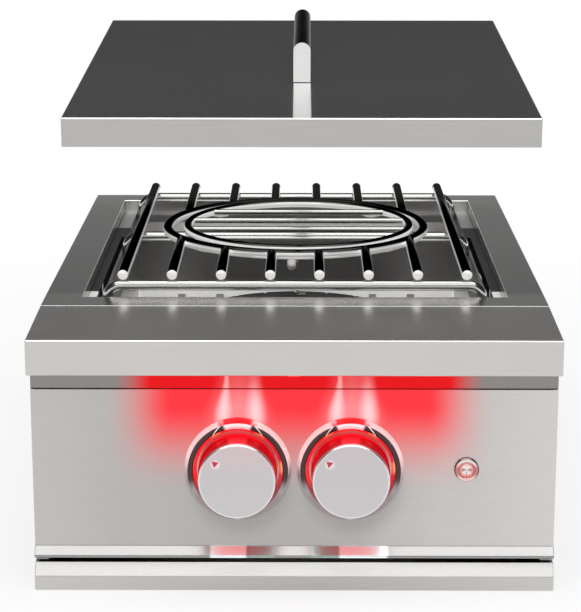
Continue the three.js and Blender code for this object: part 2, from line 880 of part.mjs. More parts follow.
// Knob, pointer, stem, valve and gas path of one burner
function makeControl(side, sign) {
  const across = (sign * knobSpacing) / 2;
  const lightInner = knobRadius + knobSkirt + knobRunning;
  const lightOuter = lightInner + lightRing;
  const rise = panelFace - gap;
  const bezel = turnedAlongY(
    [
      [lightOuter + gap, rise],
      [lightOuter + gap, rise - bezelFloor],
      [bezelRadius - bezelCrest - bezelCrestWidth, rise - bezelHeight],
      [bezelRadius - bezelCrest, rise - bezelHeight],
      [bezelRadius, rise - bezelFloor],
      [bezelRadius, rise],
      [lightOuter + gap, rise],
    ],
    across,
    controlHeight,
    fine,
  );
  add(`${side}_bezel`, bezel, chrome);
  const light = turnedAlongY(
    [
      [lightInner, rise],
      [lightInner, rise - lightRingHeight],
      [lightOuter, rise - lightRingHeight],
      [lightOuter, rise],
      [lightInner, rise],
    ],
    across,
    controlHeight,
    fine,
  );
  add(`${side}_bezel_light`, light, redLight);
  const stemBore = stemRadius + gap;
  const knob = turnedAlongY(
    [
      [0, knobFace],
      [knobRadius - knobChamfer, knobFace],
      [knobRadius, knobFace + knobChamfer],
      [knobRadius, knobBack - knobSkirtStart],
      [knobRadius + knobSkirt, knobBack - knobSkirtFull],
      [knobRadius + knobSkirt, knobBack],
      [stemBore, knobBack],
      [stemBore, knobBack - stemGrip],
      [0, knobBack - stemGrip],
    ],
    across,
    controlHeight,
    fine,
  );
  const pocket = pointerPrism(across, knobFace - overrun, knobFace + pointerDepth + gap, gap);
  add(`${side}_knob`, knob.subtract(pocket), knobMetal);
  add(`${side}_knob_pointer`, pointerPrism(across, knobFace, knobFace + pointerDepth, 0), redMark);

  const stemBack = boreFront + gap + stemEngagement + sheet;
  const stem = pinAlongY(stemRadius, knobBack - stemGrip + gap, stemBack, across, controlHeight, coarse);
  add(`${side}_valve_stem`, stem, plainSteel);
  const half = valveWidth / 2;
  const body = block(
    across - half,
    across + half,
    valveFront,
    valveBack,
    controlHeight - valveHeight / 2,
    controlHeight + valveHeight / 2,
  );
  const cavityBack = valveBack + overrun;
  const cavity = pinAlongY(plugRadius + boreRunning, boreFront, cavityBack, across, controlHeight);
  const throatFront = valveFront - overrun;
  const throatBack = boreFront + overrun;
  const throat = pinAlongY(stemRadius + boreRunning, throatFront, throatBack, across, controlHeight);
  add(`${side}_gas_valve`, body.subtract(cavity).subtract(throat), brass);
  const plugFront = boreFront + gap;
  const socketRadius = stemRadius + gap;
  const socketBack = stemBack + knobTravel + gap;
  const plug = turnedAlongY(
    [
      [socketRadius, plugFront],
      [plugRadius, plugFront],
      [plugRadius, plugFront + plugDepth],
      [0, plugFront + plugDepth],
      [0, socketBack],
      [socketRadius, socketBack],
      [socketRadius, plugFront],
    ],
    across,
    controlHeight,
    medium / 2,
  );
  add(`${side}_valve_plug`, plug, brass);
  const orificeFront = valveBack + gap;
  const orifice = turnedAlongY(
    [
      [0, orificeFront],
      [orificeHead, orificeFront],
      [orificeHead, orificeFront + orificeFlange],
      [orificeRadius, orificeFront + orificeFlange],
      [orificeRadius, orificeFront + orificeLength],
      [0, orificeFront + orificeLength],
    ],
    across,
    controlHeight,
    hexagon,
  );
  add(`${side}_gas_orifice`, orifice, brass);
  const bellFront = orificeFront + orificeLength / 2;
  const tubeBack = ringAlong - socketReach - gap;
  const venturi = turnedAlongY(
    [
      [venturiBell, bellFront],
      [venturiRadius, bellFront + bellLength],
      [venturiRadius, tubeBack],
      [venturiRadius - venturiWall, tubeBack],
      [venturiRadius - venturiWall, bellFront + bellLength],
      [venturiBell - venturiWall, bellFront],
      [venturiBell, bellFront],
    ],
    across,
    controlHeight,
    medium / 2,
  );
  add(`${side}_venturi`, venturi, plainSteel);
}

// A three sided prism near the rim of a knob's face, its tip pointing out
function pointerPrism(across, y0, y1, margin) {
  const turn = THREE.MathUtils.degToRad(pointerTurn);
  const reach = pointerSide + margin * 2;
  const middle = knobRadius - pointerRimGap - pointerSide / 2;
  const spoke = reach / Math.sqrt(pointerCorners);
  const corners = Array.from({ length: pointerCorners }, (unused, i) => {
    const angle = (i * 2 * Math.PI) / pointerCorners;
    const out = middle + spoke * Math.cos(angle);
    const aside = spoke * Math.sin(angle);
    const x = across - out * Math.sin(turn) + aside * Math.cos(turn);
    const z = controlHeight + out * Math.cos(turn) + aside * Math.sin(turn);
    return [x, z];
  });
  return profileAlongY(corners, y0, y1);
}

// Gas manifold across the valves, then back beside the well to the inlet
function makeGasLine() {
  const lineEnd = casingBack - sheet - inletLength;
  const line = bentRod(
    [
      new THREE.Vector3(-manifoldEnd, manifoldAlong, manifoldHeight),
      new THREE.Vector3(supplyAcross, manifoldAlong, manifoldHeight),
      new THREE.Vector3(supplyAcross, lineEnd, manifoldHeight),
    ],
    manifoldRadius,
    supplyBend,
  );
  add('gas_manifold', line, plainSteel);
  const start = lineEnd + gap;
  const inlet = turnedAlongY(
    [
      [0, start],
      [inletRadius - sheet - gap, start],
      [inletRadius - sheet - gap, deckBack - gap],
      [manifoldRadius, deckBack - gap],
      [manifoldRadius, start + sheet],
      [0, start + sheet],
    ],
    supplyAcross,
    manifoldHeight,
    hexagon,
  );
  add('gas_inlet', inlet, brass);
  const floor = floorHeight + sheet + gap;
  const back = openingFront - sheet - gap - linerFlange;
  const box = block(
    sparkAcross - sparkWidth / 2,
    sparkAcross + sparkWidth / 2,
    back - sparkDepth,
    back,
    floor,
    floor + sparkHeight,
  );
  add('spark_module', box, blackPlastic);
}

// Lit push button: housing, red ring, cap and the nut behind the panel
function makeButton() {
  const ringFace = panelFace - buttonProud;
  const well = buttonLightRadius + gap;
  const barrelBack = panelInside + buttonBarrelLength;
  const housing = turnedAlongY(
    [
      [well, ringFace],
      [buttonRadius - buttonChamfer, ringFace],
      [buttonRadius, ringFace + buttonChamfer],
      [buttonRadius, panelFace - gap],
      [buttonBarrelRadius, panelFace - gap],
      [buttonBarrelRadius, barrelBack],
      [0, barrelBack],
      [0, ringFace + buttonCapDepth + buttonTravel + sheet],
      [well, ringFace + buttonCapDepth + buttonTravel + sheet],
      [well, ringFace],
    ],
    buttonAcross,
    controlHeight,
    medium,
  );
  add('button_housing', housing, chrome);
  const inner = buttonLightRadius - buttonLightWidth;
  const light = turnedAlongY(
    [
      [inner, ringFace + gap],
      [buttonLightRadius, ringFace + gap],
      [buttonLightRadius, ringFace + buttonCapDepth],
      [inner, ringFace + buttonCapDepth],
      [inner, ringFace + gap],
    ],
    buttonAcross,
    controlHeight,
    medium,
  );
  add('button_light', light, redLight);
  const cap = pinAlongY(
    inner - buttonRunning,
    ringFace + buttonCapRecess,
    ringFace + buttonCapDepth,
    buttonAcross,
    controlHeight,
  );
  add('ignition_button', cap, knobMetal);
  const nutFront = panelInside + gap;
  const nutBack = nutFront + buttonNutHeight;
  const blank = pinAlongY(buttonNutRadius, nutFront, nutBack, buttonAcross, controlHeight, hexagon);
  const bore = pinAlongY(
    buttonBarrelRadius + gap,
    nutFront - overrun,
    nutBack + overrun,
    buttonAcross,
    controlHeight,
  );
  add('button_nut', blank.subtract(bore), plainSteel);
}

// Drip tray pan with side rims, its slanted front and the runners that carry it
function makeTray() {
  const front = footFace - (trayFrontProud - footChamfer);
  const frontBack = casingFront - gap - sheet;
  const half = panelSide;
  const skin = [
    [front + traySlant, trayFrontTop],
    [front, trayKnee],
    [front, trayFrontBottom],
    [front + trayFrontReturn, trayFrontBottom],
    [front + trayFrontReturn, trayFrontBottom + sheet],
    [front + sheet, trayFrontBottom + sheet],
    [front + sheet, trayKnee - sheet / 2],
    [frontBack - sheet, trayFrontTop - sheet],
    [frontBack - sheet, trayBottom],
    [frontBack, trayBottom],
    [frontBack, trayFrontTop],
  ];
  const cheek = [
    [front + traySlant, trayFrontTop],
    [front, trayKnee],
    [front, trayFrontBottom],
    [front + trayFrontReturn, trayFrontBottom],
    [frontBack, trayFrontTop],
  ];
  const trayFace = joined([
    profileAlongX(skin, -half, half),
    profileAlongX(cheek, -half, -half + sheet),
    profileAlongX(cheek, half - sheet, half),
  ]);
  add('drip_tray_front', trayFace, brightSteel);
  const side = casingSide - trayInset;
  const start = frontBack + gap;
  const end = start + trayLength;
  const top = trayBottom + trayHeight;
  const pan = block(-side, side, start, end, trayBottom, top).subtract(
    block(-side + sheet, side - sheet, start + sheet, end - sheet, trayBottom + sheet, top + overrun),
  );
  const rims = [
    block(-side - trayRim, -side + sheet, start, end, top - sheet, top),
    block(side - sheet, side + trayRim, start, end, top - sheet, top),
  ];
  add('drip_tray', joined([pan, ...rims]), plainSteel);
  for (const { side: which, sign } of sides) {
    const wall = casingSide - sheet - gap;
    const low = top - sheet - gap - sheet;
    const runnerTop = floorHeight - gap - sheet - gap;
    const runner = joined([
      sideBlock(sign, wall - sheet, wall, casingFront, end, low - runnerLip / 2, runnerTop),
      sideBlock(sign, side + gap + sheet, wall - sheet, casingFront, end, low, low + sheet),
    ]);
    add(`${which}_tray_runner`, runner, plainSteel);
  }
}

// Grate: three bent rods carry two full bars and the ring with its short bars
function makeGrate() {
  const rodHeight = barHeight - 2 * barRadius - gap;
  const footHeight = ledgeTop + gap;
  const rods = [
    ['grate_front_rod', rodFront],
    ['grate_middle_rod', rodMiddle],
    ['grate_rear_rod', rodRear],
  ];
  for (const [name, along] of rods) {
    const corners = [
      new THREE.Vector3(-legAcross, along, footHeight),
      new THREE.Vector3(-legAcross, along, rodHeight),
      new THREE.Vector3(legAcross, along, rodHeight),
      new THREE.Vector3(legAcross, along, footHeight),
    ];
    add(name, bentRod(corners, barRadius, legBend), chrome);
  }
  for (const { side, sign } of sides) {
    const bar = pinAlongY(barRadius, barFront, barRear, sign * outerBar, barHeight, coarse);
    add(`grate_${side}_bar`, bar, grateSteel);
  }
  const parts = [ringUpright(ringRadius, ringTube, 0, ringAlong, barHeight)];
  for (let i = 0; i < barHalfCount - 1; i += 1) {
    for (const { sign } of sides) {
      const across = sign * (i + 0.5) * barPitch;
      const reach = Math.sqrt(ringRadius ** 2 - across ** 2);
      parts.push(pinAlongY(barRadius, barFront, ringAlong - reach, across, barHeight, coarse));
      parts.push(pinAlongY(barRadius, ringAlong + reach, barRear, across, barHeight, coarse));
    }
  }
  const tabTop = insertHeight - insertTube - gap;
  for (let i = 0; i < tabCount; i += 1) {
    const tab = block(
      ringRadius - tabLength,
      ringRadius,
      -tabWidth / 2,
      tabWidth / 2,
      tabTop - tabThickness,
      tabTop,
    );
    parts.push(tab.rotate([0, 0, (fullTurn * (i + 0.5)) / tabCount]).translate([0, ringAlong, 0]));
  }
  add('grate_ring', joined(parts), grateSteel);
  const insert = [ringUpright(insertRadius, insertTube, insertShift, ringAlong, insertHeight)];
  for (let i = 0; i < chordHalfCount; i += 1) {
    for (const { sign } of sides) {
      const along = sign * (i + 0.5) * chordPitch;
      const reach = Math.sqrt(insertRadius ** 2 - along ** 2);
      const chord = bentRod(
        [
          new THREE.Vector3(insertShift - reach, ringAlong + along, insertHeight),
          new THREE.Vector3(insertShift + reach, ringAlong + along, insertHeight),
        ],
        chordRadius,
        chordRadius,
      );
      insert.push(chord);
    }
  }
  add('ring_insert', joined(insert), chrome);
}

// The lid is modelled on its seat, then swung up about a distant line to the place where it is held
function makeLid() {
  const seat = deckTop + gap;
  const top = seat + lidSkirt;
  const half = openingSide + lidOverlap;
  const front = lidAlong - lidDepth / 2;
  const back = lidAlong + lidDepth / 2;
  const tilt = THREE.MathUtils.degToRad(lidTilt);
  const turn = 2 * (1 - Math.cos(tilt));
  const drop = Math.cos(tilt) - 1;
  const outY = (-drop * lidForward + Math.sin(tilt) * lidLift) / turn;
  const outZ = (Math.sin(tilt) * lidForward + drop * lidLift) / turn;
  const pivot = new THREE.Vector3(0, front - outY, top - outZ);
  const lean = Math.atan(lidAside / (tilt * (lidAlong - pivot.y)));
  const axis = new THREE.Vector3(Math.cos(lean), 0, -Math.sin(lean));
  const swing = new THREE.Group();
  swing.position.copy(pivot);
  swing.quaternion.setFromAxisAngle(axis, tilt);
  swing.userData = { pivot, axis };
  root.add(swing);
  const place = new THREE.Group();
  place.position.copy(pivot).negate();
  swing.add(place);
  const shell = block(-half, half, front, back, seat, top).subtract(
    block(-half + sheet, half - sheet, front + sheet, back - sheet, seat - overrun, top - sheet),
  );
  add('lid', shell, deckSteel, place);
  const foot = top + gap;
  const arch = new THREE.Shape();
  const round = handleWidth / 2;
  arch.moveTo(-round, foot);
  arch.lineTo(round, foot);
  arch.lineTo(round, foot + handleHeight - round);
  arch.absarc(0, foot + handleHeight - round, round, 0, Math.PI);
  const solidArch = new THREE.ExtrudeGeometry(arch, {
    depth: handleLength,
    bevelEnabled: false,
    curveSegments: coarse,
  });
  solidArch.rotateX(Math.PI / 2);
  solidArch.translate(0, lidAlong + handleLength / 2, 0);
  const grip = pinAlongY(
    round,
    lidAlong - handleLength / 2,
    lidAlong + handleLength / 2,
    0,
    foot + handleHeight - round,
    coarse * 2,
  );
  const fingers = block(
    -half,
    half,
    lidAlong - handleLength / 2 + handlePost,
    lidAlong + handleLength / 2 - handlePost,
    foot - overrun,
    foot + handleHeight - round,
  );
  add('lid_handle', solidOf(solidArch).subtract(fingers).add(grip), chrome, place);
}

makeDeck();
makeNose();
makeFrontPanel();
makeLightRail();
makeCasing();
makeWell();
makeWellFittings();
makeBurner();
makeIgniter();
for (const { side, sign } of sides) {
  makeControl(side, sign);
}
makeGasLine();
makeButton();
makeTray();
makeGrate();
makeLid();

export default root;
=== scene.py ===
"""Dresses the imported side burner: smooth pieces, finishes, lights, floor and the photograph's camera."""

import json
import math

import bmesh
import bpy
from mathutils import Matrix, Vector


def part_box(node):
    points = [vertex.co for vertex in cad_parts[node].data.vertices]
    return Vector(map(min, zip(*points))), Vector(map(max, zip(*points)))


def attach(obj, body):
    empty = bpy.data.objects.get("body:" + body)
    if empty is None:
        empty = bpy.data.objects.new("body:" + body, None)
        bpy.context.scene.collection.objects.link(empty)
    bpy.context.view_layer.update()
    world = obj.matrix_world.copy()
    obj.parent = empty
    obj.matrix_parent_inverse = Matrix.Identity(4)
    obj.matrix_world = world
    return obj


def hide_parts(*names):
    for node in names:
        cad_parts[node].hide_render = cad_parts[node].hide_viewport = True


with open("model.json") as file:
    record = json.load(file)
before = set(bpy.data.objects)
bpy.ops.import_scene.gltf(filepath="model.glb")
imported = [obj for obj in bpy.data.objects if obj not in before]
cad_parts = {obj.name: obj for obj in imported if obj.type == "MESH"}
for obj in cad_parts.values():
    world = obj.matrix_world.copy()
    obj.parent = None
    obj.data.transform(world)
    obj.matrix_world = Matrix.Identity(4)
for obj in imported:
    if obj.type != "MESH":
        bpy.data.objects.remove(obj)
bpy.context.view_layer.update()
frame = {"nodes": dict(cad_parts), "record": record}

MM = 0.001
SIDES = ("left", "right")


def metres(span):
    """The ends of a span in millimetres, turned into metres."""
    return [place * MM for place in span]


# Finishes
NOISE_ROUGH = 0.6


class Graph:
    """A node tree, with short ways to add the nodes used here."""

    def __init__(self, tree):
        self.nodes = tree.nodes
        self.links = tree.links

    def fill(self, socket, value):
        """Links a socket to another, or sets it to a number, a vector or a colour."""
        if isinstance(value, bpy.types.NodeSocket):
            self.links.new(value, socket)
        else:
            socket.default_value = value

    def add(self, kind, inputs=(), **settings):
        node = self.nodes.new(f"ShaderNode{kind}")
        for name, value in settings.items():
            setattr(node, name, value)
        for key, value in dict(inputs).items():
            self.fill(node.inputs[key], value)
        return node

    def math(self, operation, *values):
        return self.add("Math", dict(enumerate(values)), operation=operation).outputs["Value"]

    def times(self, first, *others):
        """The product of values."""
        for other in others:
            first = self.math("MULTIPLY", first, other)
        return first

    def off(self, value, centre):
        """How far a value lies from a centre."""
        return self.math("ABSOLUTE", self.math("SUBTRACT", value, centre))

    def spread(self, value, low, high):
        """A value from 0 to 1 mapped to a range."""
        return self.add("MapRange", {"Value": value, "To Min": low, "To Max": high}).outputs["Result"]

    def fade(self, value, start, end, high=1.0, low=0.0):
        """A smooth change from high at start to low at end."""
        inputs = {"Value": value, "From Min": start, "From Max": end, "To Min": high, "To Max": low}
        return self.add("MapRange", inputs, interpolation_type="SMOOTHSTEP").outputs["Result"]

    def rise(self, value, start, end, full=1.0):
        """A smooth change from nothing at start to full at end."""
        return self.fade(value, start, end, 0.0, full)

    def band(self, value, start, full, fall, end):
        """One between full and fall, nothing before start or after end."""
        return self.times(self.rise(value, start, full), self.fade(value, fall, end))

    def blend(self, share, one, two):
        """A colour or socket mixed towards another by a share."""
        one, two = ((*color, 1) if isinstance(color, tuple) else color for color in (one, two))
        return self.add("Mix", {"Factor": share, "A": one, "B": two}, data_type="RGBA").outputs["Result"]

    def ramp(self, value, stops, **settings):
        """Colours by value, through stops of (position, colour)."""
        node = self.add("ValToRGB", {"Fac": value})
        for name, setting in settings.items():
            setattr(node.color_ramp, name, setting)
        elements = node.color_ramp.elements
        while len(elements) < len(stops):
            elements.new(0.5)
        for element, (position, color) in zip(elements, stops):
            element.position = position
            element.color = (*color, 1)
        return node.outputs["Color"]

    def own_place(self):
        """The place on an object, whatever its pose."""
        return self.add("TexCoord").outputs["Object"]

    def place(self, axis):
        return self.add("SeparateXYZ", {"Vector": self.own_place()}).outputs[axis]

    def normal(self, axis):
        return self.add("SeparateXYZ", {"Vector": self.add("NewGeometry").outputs["Normal"]}).outputs[axis]

    def polar(self, centre):
        """The distance from a level axis through a point, and the angle from straight up, in degrees."""
        across = self.math("SUBTRACT", self.place("X"), centre[0])
        up = self.math("SUBTRACT", self.place("Z"), centre[2])
        squares = [self.times(part, part) for part in (across, up)]
        reach = self.math("SQRT", self.math("ADD", *squares))
        return reach, self.math("DEGREES", self.math("ARCTAN2", across, up))

    def turned_place(self, centre):
        """As polar, with the angle counted alike to the left and to the right."""
        reach, angle = self.polar(centre)
        return reach, self.math("ABSOLUTE", angle)

    def noise(self, scales, detail):
        """Noise in the object's own place, stretched by a scale for each axis."""
        place = self.add("Mapping", {"Vector": self.own_place(), "Scale": scales}).outputs["Vector"]
        inputs = {"Vector": place, "Scale": 1.0, "Detail": detail, "Roughness": NOISE_ROUGH}
        return self.add("TexNoise", inputs).outputs["Fac"]


# Where a finish's noise turns from its darker to its lighter shade
SHADE_START = 0.3
SHADE_END = 0.7


def shade_pair(color, contrast):
    """A colour made a little darker and a little lighter."""
    return tuple(c * (1 - contrast) for c in color), tuple(min(1.0, c * (1 + contrast)) for c in color)


class Finish(Graph):
    """A material, with ways to feed its shader."""

    def __init__(self, name):
        self.material = bpy.data.materials.new(name)
        self.material.use_nodes = True
        super().__init__(self.material.node_tree)
        self.shader = self.nodes["Principled BSDF"]

    def feed(self, name, value):
        self.fill(self.shader.inputs[name], value)

    def base(self):
        """The socket that feeds the base colour."""
        return self.shader.inputs["Base Color"].links[0].from_socket

    def tint(self, share, color):
        self.feed("Base Color", self.blend(share, self.base(), color))

    def color(self, value):
        """Gives the surface and its own light a colour."""
        self.feed("Base Color", value)
        self.feed("Emission Color", value)

    def shades(self, value, dark, light):
        return self.ramp(value, ((SHADE_START, dark), (SHADE_END, light)))

    def surface(self, value, color, contrast, rough, shares, metallic=1.0):
        """A colour, and a roughness between two shares of it, that vary with a value."""
        self.feed("Base Color", self.shades(value, *shade_pair(color, contrast)))
        self.feed("Roughness", self.spread(value, *(min(1.0, rough * share) for share in shares)))
        self.feed("Metallic", metallic)

    def bump(self, value, strength, depth):
        node = self.add("Bump", {"Height": value, "Strength": strength, "Distance": depth * MM})
        self.feed("Normal", node.outputs["Normal"])

    def paint(self, paints, shine, matte=0.0):
        """Lays colours over the finish by their shares, with a little light of their own and less mirror."""
        result = self.base()
        cover = None
        for share, color in paints:
            result = self.blend(share, result, color)
            cover = share if cover is None else self.math("MAXIMUM", cover, share)
        self.color(result)
        self.feed("Emission Strength", self.times(cover, shine))
        if matte:
            metal = self.shader.inputs["Metallic"].default_value
            self.feed("Metallic", self.spread(cover, metal, 1.0 - matte))


# Noise scales, the lines' share of a brushed shade, the shares of a roughness, and depths in millimetres
GRAIN_ACROSS = 2600.0
GRAIN_ALONG = 14.0
CLOUD_SCALE = 9.0
LINE_SHARE = 0.75
BRUSHED_CONTRAST = 0.06
BRUSHED_BUMP = 0.05
BRUSHED_ROUGH = (0.8, 1.2)
ANISOTROPY = 0.5
LINE_DEPTH = 0.1
SMEAR_SCALE = 60.0
SMEAR_CONTRAST = 0.04
CAST_DEPTH = 0.2
SATIN_ROUGH = (0.85, 1.15)
TURNED_SCALE = 2200.0
TURNED_ROUGH = (0.85, 1.2)
LENS_SCALE = 70.0
LENS_ROUGH = (0.25, 0.4)


def brushed(name, color, rough, grain="X"):
    """Brushed steel: fine lines along an axis, faint clouds, and reflections smeared across the lines."""
    finish = Finish(name)
    lines = finish.noise([GRAIN_ALONG if axis == grain else GRAIN_ACROSS for axis in "XYZ"], detail=3.0)
    clouds = finish.noise([CLOUD_SCALE] * 3, detail=2.0)
    value = finish.math("MULTIPLY_ADD", lines, LINE_SHARE, finish.times(clouds, 1 - LINE_SHARE))
    finish.surface(value, color, BRUSHED_CONTRAST, rough, BRUSHED_ROUGH)
    finish.feed("Anisotropic", ANISOTROPY)
    along = [1.0 if axis == grain else 0.0 for axis in "XYZ"]
    inputs = {0: along, 1: finish.add("NewGeometry").outputs["Normal"]}
    finish.feed("Tangent", finish.add("VectorMath", inputs, operation="CROSS_PRODUCT").outputs["Vector"])
    finish.bump(lines, BRUSHED_BUMP, LINE_DEPTH)
    return finish


def polished(name, color, rough=0.05, smears=0.04):
    """Polished metal with faint smears in its gloss."""
    finish = Finish(name)
    clouds = finish.noise([SMEAR_SCALE] * 3, detail=4.0)
    finish.feed("Base Color", finish.shades(clouds, shade_pair(color, SMEAR_CONTRAST)[0], color))
    finish.feed("Roughness", finish.spread(clouds, rough, rough + smears))
    finish.feed("Metallic", 1.0)
    return finish


def satin(name, color, rough, contrast=0.05, metallic=1.0, scale=900.0, bump=0.05):
    """Even satin or cast surface with fine random grain."""
    finish = Finish(name)
    grain = finish.noise([scale] * 3, detail=5.0)
    finish.surface(grain, color, contrast, rough, SATIN_ROUGH, metallic)
    finish.bump(grain, bump, CAST_DEPTH)
    return finish


def turned(name, color, rough, centre, contrast, bump):
    """Metal with fine circular lines about a level axis through a point."""
    finish = Finish(name)
    inputs = {"W": finish.polar(centre)[0], "Scale": TURNED_SCALE, "Detail": 4.0}
    value = finish.add("TexNoise", inputs, noise_dimensions="1D").outputs["Fac"]
    finish.surface(value, color, contrast, rough, TURNED_ROUGH)
    finish.bump(value, bump, LINE_DEPTH)
    return finish


def lit(name, color, glow, strength):
    """A lit lens: its own colour, and a glow that varies a little along it."""
    finish = Finish(name)
    clouds = finish.noise([LENS_SCALE] * 3, detail=1.0)
    finish.color(finish.shades(clouds, color, glow))
    finish.feed("Roughness", finish.spread(clouds, *LENS_ROUGH))
    finish.feed("Emission Strength", strength)
    return finish


# Broad painted light and shade of the front and the deck: place across or along in millimetres, share
PANEL_PAINTED_SHADES = ((-232, 1.05), (-138, 0.95), (-40, 0.87), (50, 0.88), (93, 1.02), (138, 1.12), (232, 1.24))
TRAY_PAINTED_SHADES = ((-235, 1.06), (-100, 0.97), (20, 0.90), (100, 0.95), (235, 1.08))
DECK_PAINTED_SHADES = ((-202, 1.38), (-168, 1.36), (-140, 0.94), (240, 0.94), (300, 1.15), (336, 1.22))


def painted_shade_along(finish, axis, places):
    """Multiplies a finish by broad painted light and shade along an axis. The ramp holds half of each share.
    """
    start, end = places[0][0], places[-1][0]
    inputs = {"Value": finish.place(axis), "From Min": start * MM, "From Max": end * MM}
    along = finish.add("MapRange", inputs).outputs["Result"]
    stops = [((place - start) / (end - start), (share / 2,) * 3) for place, share in places]
    ramp = finish.ramp(along, stops, interpolation="EASE")
    product = finish.add("VectorMath", {0: finish.base(), 1: ramp}, operation="MULTIPLY").outputs["Vector"]
    doubled = finish.add("VectorMath", {"Vector": product, "Scale": 2.0}, operation="SCALE")
    finish.feed("Base Color", doubled.outputs["Vector"])


# Painted red light, highlights, shadows and reflections on the steel under the lip, in millimetres where not
# a share
PANEL_GLOW = (0.78, 0.036, 0.048)
PANEL_GLOW_TOP = 14.0
PANEL_GLOW_HEIGHT = 86.0
PANEL_GLOW_RUN = (112.0, 176.0)
RAIL_GLOW = (0.64, 0.010, 0.013)
RAIL_GLOW_HEIGHT = 60.0
RAIL_GLOW_RUN = (130.0, 168.0)
GLOW_SHINE = 0.35
GLOW_CENTRE = 5.0
# Pale painted highlights that rise as streaks above the knobs
STREAK_HIGHLIGHT = (1.0, 0.70, 0.72)
STREAK_HEIGHT = 38.0
STREAK_START = 4.0
# Each painted highlight streak: offset from the knob, lean, width low and high, strength low and high
HIGHLIGHT_STREAKS = (
    (-12.5, (3.0, 10.5, 3.0, 0.7, 0.35)),
    (16.0, (-1.0, 12.0, 8.0, 0.7, 0.1)),
    (1.0, (0.0, 36.0, 24.0, 0.3, 0.1)),
)
SHADOW_COLOR = (0.30, 0.29, 0.285)
SHADOW_SHARE = 0.5
SHADOW_ASIDE = 3.0
SHADOW_DROP = 16.0
SHADOW_RUN = (32.0, 54.0)
# The foot's painted shade, darker than the panel, and the colours of its painted reflections
FOOT_PAINTED_SHADE = (0.35, 0.345, 0.34)
FOOT_PINK_REFLECTION = (0.90, 0.98, 0.98)
FOOT_GREY_REFLECTION = (0.385, 0.47, 0.44)
FOOT_HEIGHT = 8.6
FOOT_SOFT = 1.5
FOOT_FLAT = 0.8
# Each painted reflection on the foot: place across, half width, colour, light
FOOT_REFLECTIONS = (
    (-29.0, 13.0, FOOT_GREY_REFLECTION, 0.0),
    (27.0, 13.0, FOOT_GREY_REFLECTION, 0.0),
    (-59.0, 18.0, FOOT_PINK_REFLECTION, 0.09),
    (62.0, 24.0, FOOT_PINK_REFLECTION, 0.09),
)


def knob_shadow(finish, centre):
    """The share of a knob's soft shadow on the panel below it."""
    low = centre.z - SHADOW_DROP * MM
    reach = finish.polar((centre.x + SHADOW_ASIDE * MM, centre.y, low))[0]
    shade = finish.fade(reach, *metres(SHADOW_RUN), SHADOW_SHARE)
    return finish.times(shade, finish.fade(finish.place("Z"), low, centre.z))


def painted_highlight_streak(finish, centre, low, shape):
    """The share of a pale painted highlight streak that rises from a knob."""
    lean, wide, narrow, strong, weak = shape
    x, z = finish.place("X"), finish.place("Z")
    high = low + STREAK_HEIGHT * MM
    line = finish.math("SUBTRACT", x, finish.fade(z, low, high, centre, centre + lean * MM))
    width = finish.fade(z, low, high, wide * MM, narrow * MM)
    band = finish.fade(finish.math("DIVIDE", finish.math("ABSOLUTE", line), width), 0.0, 1.0)
    strength = finish.fade(z, low + STREAK_START * MM, high, strong, weak)
    return finish.times(band, strength, finish.fade(z, low, low - wide * MM))


def glow_on(finish, color, top, height, run, streaks, foot=None, shadows=()):
    """Paints the strip's red light on steel, with the knobs' painted shadows, painted highlight streaks above
    the knobs and a foot with painted shade and reflections.
    """
    x, z = finish.place("X"), finish.place("Z")
    aside = finish.fade(finish.off(x, GLOW_CENTRE * MM), *metres(run))
    glow = finish.times(aside, finish.fade(z, top, top - height * MM))
    result = finish.blend(glow, finish.base(), color)
    shine = finish.times(glow, GLOW_SHINE)
    for centre in shadows:
        result = finish.blend(knob_shadow(finish, centre), result, SHADOW_COLOR)
    if foot:
        below = finish.fade(z, foot, foot + FOOT_SOFT * MM)
        result = finish.blend(below, result, FOOT_PAINTED_SHADE)
        for centre, half, patch_color, light in FOOT_REFLECTIONS:
            offset = finish.off(x, centre * MM)
            patch = finish.times(below, finish.fade(offset, half * MM * FOOT_FLAT, half * MM))
            result = finish.blend(patch, result, patch_color)
            shine = finish.math("MAXIMUM", shine, finish.times(patch, light))
    for streak in streaks:
        result = finish.blend(painted_highlight_streak(finish, *streak), result, STREAK_HIGHLIGHT)
    finish.color(result)
    finish.feed("Emission Strength", shine)


# Faces count as level, and folds get a painted highlight, where their normals rise between these
LEVEL = (0.8, 0.95)
FOLD_LEAN = (0.2, 0.42, 0.8, 0.93)
FOLD_HIGHLIGHT = (1.0, 0.99, 0.98)
# A sloped strip gets painted light where its normals rise between these
SLOPE_LEAN = (0.1, 0.2, 0.9, 0.97)
SLOPE_PAINTED_LIGHT = (0.62, 0.605, 0.59)
SLOPE_SHINE = 0.12
# A sheet is looked at squarely below the first of these facing values, and not at all above the second
FACING = (0.1, 0.3)
# Painted light and painted shade for level tops
PAINTED_TOP_LIGHT = (0.44, 0.43, 0.42)
PAINTED_TOP_SHADE = (0.19, 0.186, 0.18)


def painted_fold_highlight(finish, shine):
    """The rounded folds of a sheet get a painted highlight as a pale line."""
    finish.paint([(finish.band(finish.normal("Z"), *FOLD_LEAN), FOLD_HIGHLIGHT)], shine)


def lit_slope(finish):
    """The sloped strip of a sheet with painted light, paler than its upright front."""
    finish.paint([(finish.band(finish.normal("Z"), *SLOPE_LEAN), SLOPE_PAINTED_LIGHT)], SLOPE_SHINE)


def faced(finish):
    """1 where a face is looked at squarely, 0 where it is seen at a low angle."""
    return finish.fade(finish.add("LayerWeight").outputs["Facing"], *FACING)


def painted_shade_from_above(finish):
    """Paints shade on a level sheet, to keep it below white when it is looked at from straight above."""
    share = finish.times(finish.rise(finish.normal("Z"), *LEVEL), faced(finish))
    finish.tint(share, PAINTED_TOP_SHADE)


